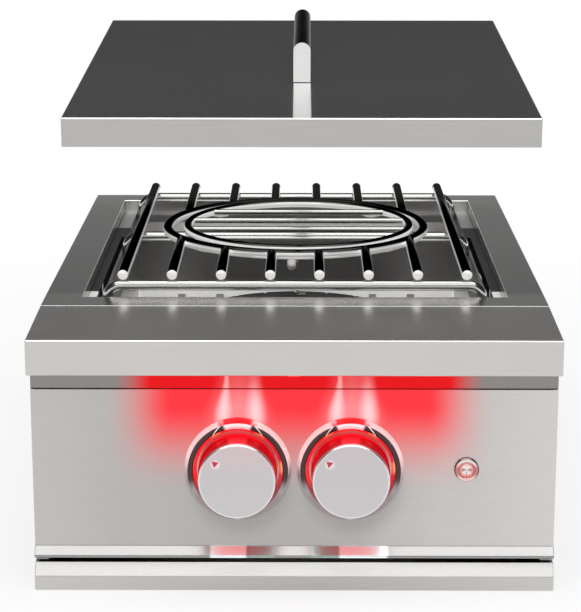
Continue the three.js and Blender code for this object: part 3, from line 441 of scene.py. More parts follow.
def painted_shade_on_top(finish, color, start, end):
    """Steel with painted shade on its upper side, so it takes the light from above less brightly than the
    light around it.
    """
    finish.tint(finish.rise(finish.normal("Z"), start, end), color)


# The bars' upper sides turn matt with painted shade between the first pair, and their tips are painted wholly
# dark between the second
BAR_REAR = (150.0, 215.0)
BAR_TIP = (279.0, 287.0)
# The colour of the painted light on the lower sides
PAINTED_GLEAM = (1.0, 0.99, 0.97, 1)
BAR_TINT = (0.04, 0.04, 0.04, 1)


def painted_shade_above_light_below(finish, dark, start, end, matte, shine):
    """Steel with painted shade on its upper side, as if it mirrored a dark room, and painted light below."""
    share = finish.rise(finish.normal("Z"), start, end)
    back = finish.place("Y")
    rear, tip = (finish.rise(back, *metres(span)) for span in (BAR_REAR, BAR_TIP))
    black = finish.math("MAXIMUM", finish.times(share, rear), tip)
    finish.tint(share, dark)
    finish.tint(tip, dark)
    metal = finish.spread(share, matte, 1.0)
    finish.feed("Metallic", finish.times(metal, finish.spread(black, 1.0, 0.0)))
    covered = finish.math("MAXIMUM", share, tip)
    finish.feed("Specular IOR Level", finish.spread(covered, 0.5, 0.0))
    finish.feed("Emission Strength", finish.spread(covered, shine, 0.0))
    finish.feed("Emission Color", PAINTED_GLEAM)
    finish.feed("Specular Tint", BAR_TINT)


# The handle's faces count as its front or back where their normals lean this far along
HANDLE_ENDS = (0.55, 0.85)
HANDLE_TINT = (0.05, 0.05, 0.05, 1)


def painted_shade_but_ends(finish, dark):
    """Steel with painted shade along its length, as if it mirrored a dark room, that stays light on its front
    and back faces.
    """
    finish.tint(finish.fade(finish.math("ABSOLUTE", finish.normal("Y")), *HANDLE_ENDS), dark)
    finish.feed("Specular Tint", HANDLE_TINT)


# The handle's reflection on the lid, in millimetres where not a share
HANDLE_DRIFT = 0.96
MIRROR_SOFT = 0.4
MIRROR_FRONT = 1.5
MIRROR_BACK = 1.6
MIRROR_COLOR = (0.80, 0.795, 0.785)
MIRROR_SHINE = 0.5


def handle_mirrored(finish, centre, half, start, end):
    """The lid's level top with painted shade, lighter towards the front, and the handle's own painted pale
    reflection in front of it.
    """
    y = finish.place("Y")
    soft = MIRROR_SOFT * MM
    across = finish.fade(finish.off(finish.place("X"), centre), half - soft, half + soft)
    along = finish.band(y, start, start + MIRROR_FRONT * MM, end - MIRROR_BACK * MM, end - MM)
    top = finish.rise(finish.normal("Z"), *LEVEL)
    grazed = finish.math("SUBTRACT", 1.0, faced(finish))
    front_steel = finish.blend(grazed, PAINTED_TOP_SHADE, PAINTED_TOP_LIGHT)
    top_steel = finish.blend(finish.fade(y, start, -start), PAINTED_TOP_SHADE, front_steel)
    finish.tint(top, top_steel)
    finish.paint([(finish.times(across, along, top, grazed), MIRROR_COLOR)], MIRROR_SHINE)


# Painted reflections of the bars' ends on the nose shelf, in millimetres where not a share
END_DRIFT = 0.965
END_STREAK = 34.0
END_WIDTH = 6.5
END_SHARE = 0.6
END_SHINE = 0.35
END_REFLECTION = (0.95, 0.94, 0.93)


def mirrored_ends(finish, places, start, end):
    """Painted pale reflections on the steel in front of each bar's end."""
    near = finish.fade(finish.place("Y"), start, end)
    paints = []
    for place in places:
        band = finish.fade(finish.off(finish.place("X"), place), 0.0, END_WIDTH * MM, END_SHARE)
        paints.append((finish.times(band, near), END_REFLECTION))
    finish.paint(paints, END_SHINE)


# Inside the well, in millimetres where not a share
LINER_BACK = 17.0
BACK_LIGHT_TOP = 130.0
BACK_LIGHT_RUN = 3.0
BACK_LIGHT = (0.95, 0.94, 0.92)
BACK_SHINE_MATTE = (0.4, 0.4)
COVER_PAD = 72.0
COVER_LENGTH = 94.0
# Painted shade in the channel, and a pale pad with a little light of its own
COVER_PAINTED_SHADE = (0.035, 0.034, 0.033)
COVER_PALE = (0.96, 0.95, 0.94)
COVER_PALE_SHARE = 0.9
COVER_SHINE_MATTE = (0.25, 0.3)


def lit_low_at_back(finish, back, top):
    """A painted pale band of light low on the back wall, where light comes in beside the slots."""
    rear = finish.rise(finish.place("Y"), back - BACK_LIGHT_RUN * MM, back)
    low = finish.fade(finish.place("Z"), top - MM, top)
    finish.paint([(finish.times(rear, low), BACK_LIGHT)], *BACK_SHINE_MATTE)


def shaded_between(finish, start, end):
    """Painted shade along the middle of the channel, light at its ends: pale with a little light of its own
    at the front.
    """
    y = finish.place("Y")
    run = finish.band(y, start - MM, start, end, end + MM)
    pad = finish.fade(y, start - MM, start, COVER_PALE_SHARE)
    finish.paint([(run, COVER_PAINTED_SHADE), (pad, COVER_PALE)], *COVER_SHINE_MATTE)


# Bezels: colours of painted reflections by angle from straight up in degrees and by radius in millimetres
BEZEL_SOFT = 0.35
BEZEL_SHINE_MATTE = (0.4, 0.55)
BEZEL_PALE_REFLECTION = (0.98, 0.80, 0.80)
BEZEL_RED_REFLECTION = (0.80, 0.012, 0.02)
BEZEL_DARK_REFLECTION = (0.05, 0.022, 0.024)
BEZEL_GREY_REFLECTION = (0.24, 0.21, 0.21)
BEZEL_TAB = (0.92, 0.72, 0.74)
BEZEL_INNER = 0.3
BEZEL_INNER_RED = (120.0, 165.0)
# Each paint: angles where it starts, is full, falls and ends, and its colour
CREST_PAINTS = (
    ((14.0, 18.0, 100.0, 125.0), BEZEL_DARK_REFLECTION),
    ((95.0, 125.0, 170.0, 190.0), BEZEL_GREY_REFLECTION),
    ((-5.0, -4.0, 14.0, 17.0), BEZEL_TAB),
)
RIM_PAINTS = (
    ((19.0, 24.0, 66.0, 104.0), BEZEL_PALE_REFLECTION),
    ((-5.0, -4.0, 14.0, 20.0), BEZEL_RED_REFLECTION),
)
# The leaning dark and pale painted reflections beside the tab: angles past EAR_TURN, and degrees of lean a
# millimetre
EAR_TURN = 17.0
EAR_LEAN = 2.6
EAR_INSIDE = 0.6
EAR_PAINTS = (
    ((-0.5, 0.3, 1.6, 2.4), BEZEL_DARK_REFLECTION),
    ((2.2, 3.0, 4.4, 5.2), BEZEL_PALE_REFLECTION),
)


def bezel_metal(name, centre, crest_inner, crest_outer):
    """Chrome with painted reflections, pale crescents outside, a dark crest and red inside, and a pale tab at
    the top.
    """
    finish = polished(name, (0.70, 0.69, 0.70), 0.08)
    reach, turn = finish.turned_place(centre)
    soft = BEZEL_SOFT * MM
    outside = finish.rise(reach, crest_outer - soft, crest_outer + soft)
    inside = finish.fade(reach, crest_inner - soft, crest_inner + soft)
    inner = crest_inner - BEZEL_INNER * MM
    crest = finish.band(reach, inner - soft, inner + soft, crest_outer - soft, crest_outer + soft)
    lean = finish.times(finish.math("SUBTRACT", reach, crest_outer), EAR_LEAN / MM)
    ear = finish.math("SUBTRACT", finish.math("ADD", turn, lean), EAR_TURN)
    flat = finish.math("MAXIMUM", crest, finish.times(inside, EAR_INSIDE))
    paints = [(finish.times(inside, finish.fade(turn, *BEZEL_INNER_RED)), BEZEL_RED_REFLECTION)]
    zones = ((crest, turn, CREST_PAINTS), (outside, turn, RIM_PAINTS), (flat, ear, EAR_PAINTS))
    for zone, value, rows in zones:
        paints += [(finish.times(zone, finish.band(value, *turns)), color) for turns, color in rows]
    finish.paint(paints, *BEZEL_SHINE_MATTE)
    return finish


# Ring lights round the knobs: angles from straight up in degrees, to the right where RIGHT says so
RING_RED = (0.76, 0.002, 0.006)
RING_BRIGHT = (0.86, 0.006, 0.008)
RING_STRENGTH = 0.85
RING_CRIMSON = (0.50, 0.0, 0.018)
RING_CRIMSON_RIGHT = (10.0, 80.0)
RING_CRIMSON_SHARE = 0.9
RING_GLINT = (1.0, 0.50, 0.17)
RING_GLINT_INNER = 0.2
RING_GLINT_TURNS = (21.0, 28.0, 33.0, 42.0)
RING_GLINT_RIGHT = (76.0, 83.0, 90.0, 98.0)
# Painted shade over the ring's lower part
RING_PAINTED_SHADE = (0.12, 0.05, 0.05)
RING_SHADE_TURNS = (98.0, 122.0)


def ring_lens(name, centre, inner, outer):
    """A lit ring, crimson towards the right, with painted shade below and warm glints where its lamps sit."""
    finish = lit(name, RING_RED, RING_BRIGHT, RING_STRENGTH)
    reach, angle = finish.polar(centre)
    turn = finish.math("ABSOLUTE", angle)
    crimson = finish.rise(angle, *RING_CRIMSON_RIGHT, RING_CRIMSON_SHARE)
    result = finish.blend(crimson, finish.base(), RING_CRIMSON)
    result = finish.blend(finish.rise(turn, *RING_SHADE_TURNS), result, RING_PAINTED_SHADE)
    band = finish.fade(reach, (inner + outer) / 2, outer, RING_GLINT_INNER, 1.0)
    for value, turns in ((turn, RING_GLINT_TURNS), (angle, RING_GLINT_RIGHT)):
        result = finish.blend(finish.times(band, finish.band(value, *turns)), result, RING_GLINT)
    finish.color(result)
    return finish


# Push button: angles from straight up in degrees, widths as shares, rims in millimetres
BUTTON_DARK = (0.38, 0.24, 0.22)
# Painted rosy light of the ring on the cap and the collar
BUTTON_ROSE_LIGHT = (0.90, 0.40, 0.38)
BUTTON_RIM = (0.10, 0.03, 0.035)
BUTTON_PINK = (0.82, 0.44, 0.41)
BUTTON_SIDE_ROSE_LIGHT = (0.50, 0.21, 0.21)
CAP_WEDGE = (58.0, 76.0, 104.0, 124.0)
CAP_SEAM = (164.0, 178.0)
CAP_EDGE = (0.62, 0.9)
CAP_SHARE = 0.8
CAP_SHINE = 0.15
LENS_LINE = (0.1, 0.35, 0.6, 0.85)
LENS_FAINT_TOP = (8.0, 50.0)
LENS_FAINT = 0.25
COLLAR_NEAR = 0.7
COLLAR_FAR = 0.2
COLLAR_FAINT_TOP = (20.0, 80.0)
COLLAR_FAINT = 0.1
COLLAR_SIDE = (50.0, 85.0, 105.0, 145.0)
COLLAR_RIM = (1.3, 0.7)
COLLAR_RIM_SHARE = 0.85
COLLAR_RIM_TURNS = (110.0, 150.0)
COLLAR_SHINE = 0.08


def button_cap_metal(name, centre, radius):
    """Cap metal brushed out from its middle, with two painted dark wedges of reflection and the ring's
    painted light at its edge.
    """
    finish = turned(name, (0.84, 0.78, 0.76), 0.3, centre, contrast=0.03, bump=0.02)
    reach, turn = finish.turned_place(centre)
    # Painted dark reflections in two wedges, and the ring's painted light at the edge
    wedge = finish.band(turn, *CAP_WEDGE)
    seam = finish.rise(turn, *CAP_SEAM, CAP_SHARE)
    edge = finish.rise(reach, *(radius * share for share in CAP_EDGE), CAP_SHARE)
    finish.paint([(wedge, BUTTON_DARK), (seam, BUTTON_DARK), (edge, BUTTON_ROSE_LIGHT)], CAP_SHINE)
    return finish


def button_lens(name, centre, inner, outer):
    """A thin deep red line with a pink shine on both sides, fainter at the top."""
    finish = lit(name, (0.40, 0.006, 0.012), (0.44, 0.012, 0.018), 0.18)
    reach, turn = finish.turned_place(centre)
    line = finish.band(reach, *(inner + (outer - inner) * share for share in LENS_LINE))
    line = finish.times(line, finish.fade(turn, *LENS_FAINT_TOP, LENS_FAINT, 1.0))
    finish.color(finish.blend(line, BUTTON_PINK, finish.base()))
    return finish


def button_chrome(name, centre, inner, outer):
    """Chrome collar with painted rosy light beside the ring light, deeper at its sides, and dark at its outer
    rim.
    """
    finish = polished(name, (0.80, 0.76, 0.74), 0.16, 0.06)
    reach, turn = finish.turned_place(centre)
    near = finish.fade(reach, inner, outer, COLLAR_NEAR, COLLAR_FAR)
    rosy = finish.times(near, finish.fade(turn, *COLLAR_FAINT_TOP, COLLAR_FAINT, 1.0))
    beside = finish.band(turn, *COLLAR_SIDE)
    rim = finish.rise(reach, *(outer - inset * MM for inset in COLLAR_RIM), COLLAR_RIM_SHARE)
    rim = finish.times(rim, finish.fade(turn, *COLLAR_RIM_TURNS, 1.0, COLLAR_FAR))
    finish.paint([(rosy, BUTTON_ROSE_LIGHT), (beside, BUTTON_SIDE_ROSE_LIGHT), (rim, BUTTON_RIM)], COLLAR_SHINE)
    return finish


# Knobs, in millimetres where not a share
# A painted highlight on the rim, a pale outline round the pointer, and painted red light on the face and the
# side
KNOB_RIM = (1.8, 1.5)
KNOB_RIM_SHARE = 0.75
KNOB_PALE_OUTLINE_AND_HIGHLIGHT = (0.95, 0.88, 0.88)
KNOB_SIDE_RED_LIGHT = (0.72, 0.006, 0.02)
KNOB_SIDE_RUN = (1.6, 6.0)
KNOB_SHINE = 0.32
KNOB_RED_LIGHT = (0.80, 0.56, 0.60)
KNOB_RED_LIGHT_SHARES = {"left": 0.45, "right": 0.15}
KNOB_RED_LIGHT_LOW = 5.0
HALO_RUN = (3.6, 5.0)
HALO_SHARE = 0.55


def knob_metal(name, centre, face_place, radius, pointer, red_light_share):
    """Satin metal with a painted highlight on its rim, a pale edge round the pointer, and painted red light
    higher up and on its side.
    """
    finish = turned(name, (0.62, 0.60, 0.61), 0.34, centre, contrast=0.02, bump=0.012)
    reach = finish.polar(centre)[0]
    behind = finish.math("SUBTRACT", finish.place("Y"), face_place)
    side = finish.rise(behind, *metres(KNOB_SIDE_RUN))
    rim = finish.rise(reach, *(radius - inset * MM for inset in KNOB_RIM), KNOB_RIM_SHARE)
    halo = finish.fade(finish.polar(pointer)[0], *metres(HALO_RUN), HALO_SHARE)
    height = finish.rise(finish.place("Z"), centre.z - KNOB_RED_LIGHT_LOW * MM, centre.z + radius, red_light_share)
    finish.paint([(height, KNOB_RED_LIGHT), (halo, KNOB_PALE_OUTLINE_AND_HIGHLIGHT), (rim, KNOB_PALE_OUTLINE_AND_HIGHLIGHT), (side, KNOB_SIDE_RED_LIGHT)], 0.0)
    finish.feed("Emission Strength", finish.times(side, KNOB_SHINE))
    return finish


DECK_STEEL = brushed("deck_steel", (0.50, 0.49, 0.475), 0.24)
LID_STEEL = brushed("lid_steel", (0.48, 0.47, 0.455), 0.22)
NOSE_STEEL = brushed("nose_steel", (0.64, 0.62, 0.60), 0.32)
TRAY_STEEL = brushed("panel_steel", (0.56, 0.545, 0.53), 0.28)
PANEL_STEEL = brushed("lit_panel_steel", (0.53, 0.515, 0.50), 0.28)
PLAIN_STEEL = brushed("plain_steel", (0.50, 0.50, 0.49), 0.38, grain="Y")
WELL_STEEL = brushed("well_steel", (0.46, 0.452, 0.445), 0.3)
LINER_STEEL = brushed("liner_steel", (0.50, 0.492, 0.485), 0.3)
COVER_STEEL = brushed("cover_steel", (0.62, 0.61, 0.60), 0.4)
LEDGE_STEEL = brushed("ledge_steel", (0.55, 0.54, 0.53), 0.35, grain="Y")
RAIL_STEEL = brushed("rail_steel", (0.285, 0.27, 0.26), 0.28)
INNER_STEEL = satin("inner_steel", (0.45, 0.445, 0.44), 0.4)
CUT_STEEL = satin("cut_steel", (0.93, 0.92, 0.91), 0.6, 0.03, metallic=0.0, bump=0.02)
CHROME = polished("chrome", (0.84, 0.84, 0.85))
ROD_STEEL = polished("rod_steel", (0.72, 0.715, 0.70), 0.12, 0.06)
GRATE_STEEL = polished("grate_steel", (0.78, 0.77, 0.76), 0.07, 0.04)
RING_STEEL = polished("ring_steel", (0.82, 0.81, 0.80), 0.12, 0.06)
HANDLE_STEEL = polished("handle_steel", (0.78, 0.775, 0.76), 0.16, 0.08)
BRASS = satin("brass", (0.66, 0.49, 0.22), 0.3)
CAST_IRON = satin("cast_iron", (0.055, 0.053, 0.052), 0.62, 0.25, metallic=0.6, scale=500.0, bump=0.35)
CERAMIC = satin("ceramic", (0.86, 0.84, 0.80), 0.3, 0.02, metallic=0.0, bump=0.01)
BLACK_PLASTIC = satin("black_plastic", (0.02, 0.02, 0.02), 0.5, 0.2, metallic=0.0, bump=0.2)
RED_MARK = satin("red_mark", (0.66, 0.03, 0.07), 0.35, metallic=0.0, bump=0.02)
RED_LENS = lit("red_lens", (0.93, 0.008, 0.012), (1.0, 0.03, 0.03), 1.0)

painted_shade_but_ends(HANDLE_STEEL, dark=(0.025, 0.024, 0.022))
painted_shade_above_light_below(GRATE_STEEL, dark=(0.022, 0.021, 0.020), start=0.3, end=0.55, matte=0.7, shine=0.3)
painted_shade_above_light_below(RING_STEEL, dark=(0.03, 0.029, 0.028), start=0.34, end=0.6, matte=0.4, shine=0.4)
painted_shade_on_top(ROD_STEEL, (0.29, 0.287, 0.28), start=0.4, end=0.7)
for folded, fold_shine in ((LID_STEEL, 0.8), (NOSE_STEEL, 0.7), (DECK_STEEL, 0.2)):
    painted_fold_highlight(folded, fold_shine)


# Rounded edges and smooth round pieces, in millimetres
FOLD_EDGE = 1.1
PANEL_EDGE = 0.6
SHEET_EDGE = 0.45
FINE_EDGE = 0.25
MODULE_EDGE = 1.5
MERGE = 0.01
EDGE_STEPS = 2
ROUND_STEPS = 96
TUBE_STEPS = 28
BEND_STEPS = 10
CORNER_STEPS = 4
FLAT_ANGLE = math.radians(1)
SMOOTH_ANGLE = math.radians(32)
SHARP_BEND = math.radians(12)
# A face is a rim, and keeps its edges sharp, where its mean width is below this many rounded edges
RIM_SHARE = 2.2
# An eased corner takes at most the straight run beside it divided by this
EASE_PART = 2.2
# A radius below this, in metres, is a point on the axis
NO_RADIUS = 1e-7

NODE_BODY = {
    member: body for body, members in frame["record"]["behaviour"]["bodies"].items() for member in members
}
NODE_SLOT = {entry["node"]: entry["material_slot"] for entry in frame["record"]["subparts"]}


# Pieces
def put(name, data):
    """A new object in the scene."""
    thing = bpy.data.objects.new(name, data)
    bpy.context.scene.collection.objects.link(thing)
    return thing


def keep(name, mesh, body, finish, slot, *nodes, extras=()):
    """Puts a mesh in the scene as a piece that stands for CAD nodes and rides on their body."""
    piece = put(name, mesh)
    mesh.materials.clear()
    for each in (finish, *extras):
        mesh.materials.append(each.material)
    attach(piece, body)
    if nodes:
        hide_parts(*nodes)
    return piece


def smooth_by_angle(mesh):
    for face in mesh.polygons:
        face.use_smooth = True
    mesh.set_sharp_from_angle(angle=SMOOTH_ANGLE)


def finished(work, name):
    """The mesh of a shape being made."""
    bmesh.ops.recalc_face_normals(work, faces=work.faces)
    mesh = bpy.data.meshes.new(name)
    work.to_mesh(mesh)
    work.free()
    smooth_by_angle(mesh)
    return mesh


def evened(mesh):
    """The mesh with normals that keep its large faces flat beside their rounded edges."""
    scratch = put("evening", mesh)
    modifier = scratch.modifiers.new("even", "WEIGHTED_NORMAL")
    modifier.keep_sharp = True
    modifier.weight = 100
    graph = bpy.context.evaluated_depsgraph_get()
    result = bpy.data.meshes.new_from_object(scratch.evaluated_get(graph))
    bpy.data.objects.remove(scratch)
    return result


def rims_of(work, width):
    """The faces too narrow for a rounded edge of a width on both their sides."""
    limit = RIM_SHARE * width * MM
    return [face for face in work.faces if 2 * face.calc_area() / face.calc_perimeter() < limit]


def edged(node, finish, width=SHEET_EDGE):
    """A copy of a CAD node whose corners have small rounded edges."""
    mesh = frame["nodes"][node].data.copy()
    mesh.name = f"{node}_edged"
    work = bmesh.new()
    work.from_mesh(mesh)
    bmesh.ops.remove_doubles(work, verts=work.verts, dist=MERGE * MM)
    bmesh.ops.dissolve_limit(
        work, angle_limit=FLAT_ANGLE, use_dissolve_boundaries=False, verts=work.verts, edges=work.edges
    )
    bmesh.ops.connect_verts_concave(work, faces=rims_of(work, width))
    rims = set(rims_of(work, width))
    sharp = [
        edge
        for edge in work.edges
        if edge.is_manifold and edge.calc_face_angle(0) > SMOOTH_ANGLE and rims.isdisjoint(edge.link_faces)
    ]
    settings = {"segments": EDGE_STEPS, "profile": 0.5, "affect": "EDGES", "clamp_overlap": True}
    bmesh.ops.bevel(work, geom=sharp, offset=width * MM, **settings)
    bmesh.ops.recalc_face_normals(work, faces=work.faces)
    work.to_mesh(mesh)
    work.free()
    for layer in list(mesh.uv_layers):
        mesh.uv_layers.remove(layer)
    smooth_by_angle(mesh)
    return keep(f"{node}_edged", evened(mesh), NODE_BODY[node], finish, NODE_SLOT[node], node)


def eased(profile, radius):
    """A closed or open outline with its sharp corners turned into arcs of up to a radius."""
    closed = profile[0] == profile[-1]
    points = [Vector(p) for p in (profile[:-1] if closed else profile)]
    count = len(points)
    result = []
    for i, here in enumerate(points):
        if not closed and i in (0, count - 1):
            result.append(tuple(here))
            continue
        into = here - points[i - 1]
        onward = points[(i + 1) % count] - here
        turn = into.angle(onward)
        if turn < SHARP_BEND:
            result.append(tuple(here))
            continue
        back = min(radius * math.tan(turn / 2), into.length / EASE_PART, onward.length / EASE_PART)
        start = here - into.normalized() * back
        end = here + onward.normalized() * back
        for step in range(CORNER_STEPS + 1):
            t = step / CORNER_STEPS
            result.append(tuple(start.lerp(here, t).lerp(here.lerp(end, t), t)))
    if closed:
        result.append(result[0])
    return result


def around(steps):
    """Angles round a full turn."""
    return [2 * math.pi * i / steps for i in range(steps)]


def skin(work, rows, closed, slot=0):
    """Faces between each row of vertices and the next. A row of one repeated vertex gives triangles."""
    pairs = list(zip(rows, rows[1:]))
    if closed:
        pairs.append((rows[-1], rows[0]))
    for one, two in pairs:
        for i in range(len(one)):
            j = (i + 1) % len(one)
            corners = list(dict.fromkeys([one[i], one[j], two[j], two[i]]))
            if len(corners) > 2:
                work.faces.new(corners).material_index = slot


def lathe(name, profile, centre):
    """A mesh turned about a line along Y: profile points are (radius, place along the line) in metres."""
    closed = profile[0] == profile[-1]
    work = bmesh.new()
    rows = []
    for radius, along in profile[:-1] if closed else profile:
        if radius < NO_RADIUS:
            rows.append([work.verts.new((centre.x, along, centre.z))] * ROUND_STEPS)
            continue
        rows.append([
            work.verts.new((centre.x + radius * math.cos(a), along, centre.z + radius * math.sin(a)))
            for a in around(ROUND_STEPS)
        ])
    skin(work, rows, closed)
    return finished(work, name)


def turn_piece(node, profile, ease, centre, finish):
    """Puts a turned piece in a CAD node's place."""
    mesh = lathe(node, eased(profile, ease * MM), centre)
    keep(f"{node}_turned", mesh, NODE_BODY[node], finish, NODE_SLOT[node], node)


def ring_profile(inner, outer, front, back):
    return [(inner, back), (inner, front), (outer, front), (outer, back), (inner, back)]


def bent_path(corners, bend):
    """Points along straight runs whose corners are arcs of the bend radius."""
    points = [corners[0]]
    for before, here, after in zip(corners, corners[1:], corners[2:]):
        into = (here - before).normalized()
        onward = (after - here).normalized()
        half = into.angle(onward) / 2
        back = bend * math.tan(half)
        centre = here + (onward - into).normalized() * (bend / math.cos(half))
        spoke = here - into * back - centre
        axis = into.cross(onward).normalized()
        for step in range(BEND_STEPS + 1):
            points.append(centre + Matrix.Rotation(2 * half * step / BEND_STEPS, 3, axis) @ spoke)
    points.append(corners[-1])
    return points


def add_tube(work, points, radius, closed=False, end_edge=0.0, slot=0, end_slot=0):
    """Adds a round tube along points to a mesh being made. Its flat ends have a small rounded edge."""
    count = len(points)
    sections = []
    side = None
    for i, point in enumerate(points):
        before = points[(i - 1) % count] if closed or i > 0 else point
        after = points[(i + 1) % count] if closed or i < count - 1 else point
        forward = (after - before).normalized()
        if side is None:
            side = forward.orthogonal().normalized()
        side = (side - forward * side.dot(forward)).normalized()
        sections.append((point, forward, side, radius))
    if end_edge:
        first = rounded_end(*sections[0], 1, end_edge)
        last = rounded_end(*sections[-1], -1, end_edge)
        sections = first + sections[1:-1] + last[::-1]
    rings = []
    for point, forward, side, reach in sections:
        up = forward.cross(side)
        spokes = [side * math.cos(a) + up * math.sin(a) for a in around(TUBE_STEPS)]
        rings.append([work.verts.new(point + spoke * reach) for spoke in spokes])
    skin(work, rings, closed, slot)
    if not closed:
        for ring in (rings[0], rings[-1]):
            work.faces.new(ring).material_index = end_slot


def rounded_end(point, forward, side, radius, inward, edge):
    """The sections that round off a tube's end, from its flat face inwards."""
    sections = []
    for step in range(CORNER_STEPS + 1):
        angle = math.pi / 2 * step / CORNER_STEPS
        inset = edge * (1 - math.cos(angle))
        reach = radius - edge * (1 - math.sin(angle))
        sections.append((point + forward * inward * inset, forward, side, reach))
    return sections


def circle(centre, radius):
    """Points round a level circle."""
    return [centre + Vector((math.cos(a), math.sin(a), 0)) * radius for a in around(ROUND_STEPS)]


def middle(node):
    low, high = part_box(node)
    return (low + high) / 2


def round_box(node):
    """The centre and the radius of a CAD node that is round about Y, and its front and back place."""
    low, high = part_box(node)
    return (low + high) / 2, (high.x - low.x) / 2, low.y, high.y


# The grate's sizes are those of the solids, in millimetres
BAR_RADIUS = 5.0
BAR_PITCH = 46.44
SHORT_BAR_HALF_COUNT = 3
ROD_BEND = 14.0
RING_RADIUS = 134.0
RING_TUBE = 5.0
TAB_LENGTH = 24.0
TAB_WIDTH = 12.0
TAB_THICKNESS = 3.0
TAB_COUNT = 4
INSERT_TUBE = 4.25
INSERT_GAP = 0.3
CHORD_RADIUS = 3.0
CHORD_PITCH = 45.0
CHORD_HALF_COUNT = 2
TUBE_END = 0.6


def places_across(pitch, half_count):
    """Places in pairs on both sides of the middle, from the inside out, in metres."""
    return [sign * (i + 0.5) * pitch * MM for i in range(half_count) for sign in (-1, 1)]


def light_sheets():
    """Lays light and shade on the sheets' finishes, by the places of what casts them."""
    for steel in (DECK_STEEL, NOSE_STEEL):
        painted_shade_from_above(steel)
    painted_shade_along(DECK_STEEL, "Y", DECK_PAINTED_SHADES)
    lid_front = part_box("lid")[0].y
    handle_low, handle_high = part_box("lid_handle")
    handle_half = (handle_high.x - handle_low.x) / 2 * HANDLE_DRIFT
    handle_mirrored(LID_STEEL, middle("lid_handle").x, handle_half, lid_front, handle_low.y)
    nose_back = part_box("nose_shelf")[1].y
    ends = [place * END_DRIFT for place in places_across(BAR_PITCH, SHORT_BAR_HALF_COUNT + 1)]
    mirrored_ends(NOSE_STEEL, ends, nose_back, nose_back - END_STREAK * MM)
    painted_shade_along(TRAY_STEEL, "X", TRAY_PAINTED_SHADES)
    lit_slope(TRAY_STEEL)

    panel_low, panel_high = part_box("front_panel")
    top = panel_high.z
    bezels = [f"{side}_bezel" for side in SIDES]
    streaks = [
        (middle(bezel).x + offset * MM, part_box(bezel)[1].z, shape)
        for bezel in bezels
        for offset, shape in HIGHLIGHT_STREAKS
    ]
    foot = panel_low.z + FOOT_HEIGHT * MM
    shadows = [middle(bezel) for bezel in bezels]
    glow_top = top - PANEL_GLOW_TOP * MM
    painted_shade_along(PANEL_STEEL, "X", PANEL_PAINTED_SHADES)
    glow_on(PANEL_STEEL, PANEL_GLOW, glow_top, PANEL_GLOW_HEIGHT, PANEL_GLOW_RUN, streaks, foot, shadows)
    glow_on(RAIL_STEEL, RAIL_GLOW, top, RAIL_GLOW_HEIGHT, RAIL_GLOW_RUN, streaks)

    liner_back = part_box("well_liner")[1].y
    lit_low_at_back(LINER_STEEL, liner_back - LINER_BACK * MM, BACK_LIGHT_TOP * MM)
    cover_low, cover_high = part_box("left_channel_cover")
    shaded_between(COVER_STEEL, cover_low.y + COVER_PAD * MM, cover_high.y - COVER_LENGTH * MM)


# The CAD's own shapes that get rounded edges: finish, nodes, and the edge's width where it isn't a sheet's
OUTER_SHEETS = (
    (DECK_STEEL, "deck_frame"),
    (LID_STEEL, "lid", FOLD_EDGE),
    (NOSE_STEEL, "nose_shelf", FOLD_EDGE),
    (TRAY_STEEL, "drip_tray_front", FOLD_EDGE),
    (PANEL_STEEL, "front_panel", PANEL_EDGE),
    (RAIL_STEEL, "light_rail"),
    (PLAIN_STEEL, "left_side_panel right_side_panel back_panel base_pan drip_tray"),
    (LINER_STEEL, "well_liner"),
    (WELL_STEEL, "rear_baffle"),
)
# The same for a left and a right piece, without the side in the name
SIDE_PIECES = (
    (COVER_STEEL, "channel_cover", FINE_EDGE),
    (LEDGE_STEEL, "grate_ledge"),
    (INNER_STEEL, "tray_runner"),
    (BRASS, "gas_valve"),
    (BRASS, "gas_orifice", FINE_EDGE),
    (INNER_STEEL, "venturi", FINE_EDGE),
    (BRASS, "valve_plug", FINE_EDGE),
    (CHROME, "valve_stem", FINE_EDGE),
)
INNER_PIECES = (
    (INNER_STEEL, "burner_cradle igniter_bracket button_nut", FINE_EDGE),
    (CAST_IRON, "burner_base outer_burner_cap inner_burner_cap"),
    (INNER_STEEL, "gas_manifold", FINE_EDGE),
    (BRASS, "gas_inlet", FINE_EDGE),
    (CERAMIC, "igniter", FINE_EDGE),
    (BLACK_PLASTIC, "spark_module", MODULE_EDGE),
    (RED_LENS, "light_strip", FINE_EDGE),
    (HANDLE_STEEL, "lid_handle", PANEL_EDGE),
)


def edge_all(rows, before=""):
    return {
        node: edged(before + node, finish, *width) for finish, nodes, *width in rows for node in nodes.split()
    }


def make_edged_pieces():
    """Folded, flat and inner pieces. The lid neither shades the grate nor is mirrored in it."""
    light_sheets()
    lid = edge_all(OUTER_SHEETS)["lid"]
    lid.visible_shadow = False
    lid.visible_glossy = False
    for side in SIDES:
        edge_all(SIDE_PIECES, f"{side}_")
    edge_all(INNER_PIECES)


def make_rod(node):
    low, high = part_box(node)
    along = (low.y + high.y) / 2
    radius = BAR_RADIUS * MM
    left, right, top = low.x + radius, high.x - radius, high.z - radius
    corners = [Vector((x, along, z)) for x, z in ((left, low.z), (left, top), (right, top), (right, low.z))]
    work = bmesh.new()
    add_tube(work, bent_path(corners, ROD_BEND * MM), radius, end_edge=TUBE_END * MM)
    keep(f"{node}_round", finished(work, node), "grate", ROD_STEEL, "chrome", node)


def make_long_bar(node):
    low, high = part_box(node)
    at = (low + high) / 2
    work = bmesh.new()
    add_bar(work, Vector((at.x, low.y, at.z)), Vector((at.x, high.y, at.z)))
    keep(f"{node}_round", finished(work, node), "grate", GRATE_STEEL, "grate_steel", node, extras=[CUT_STEEL])


def add_bar(work, start, end):
    add_tube(work, [start, end], BAR_RADIUS * MM, end_edge=TUBE_END * MM, end_slot=1)


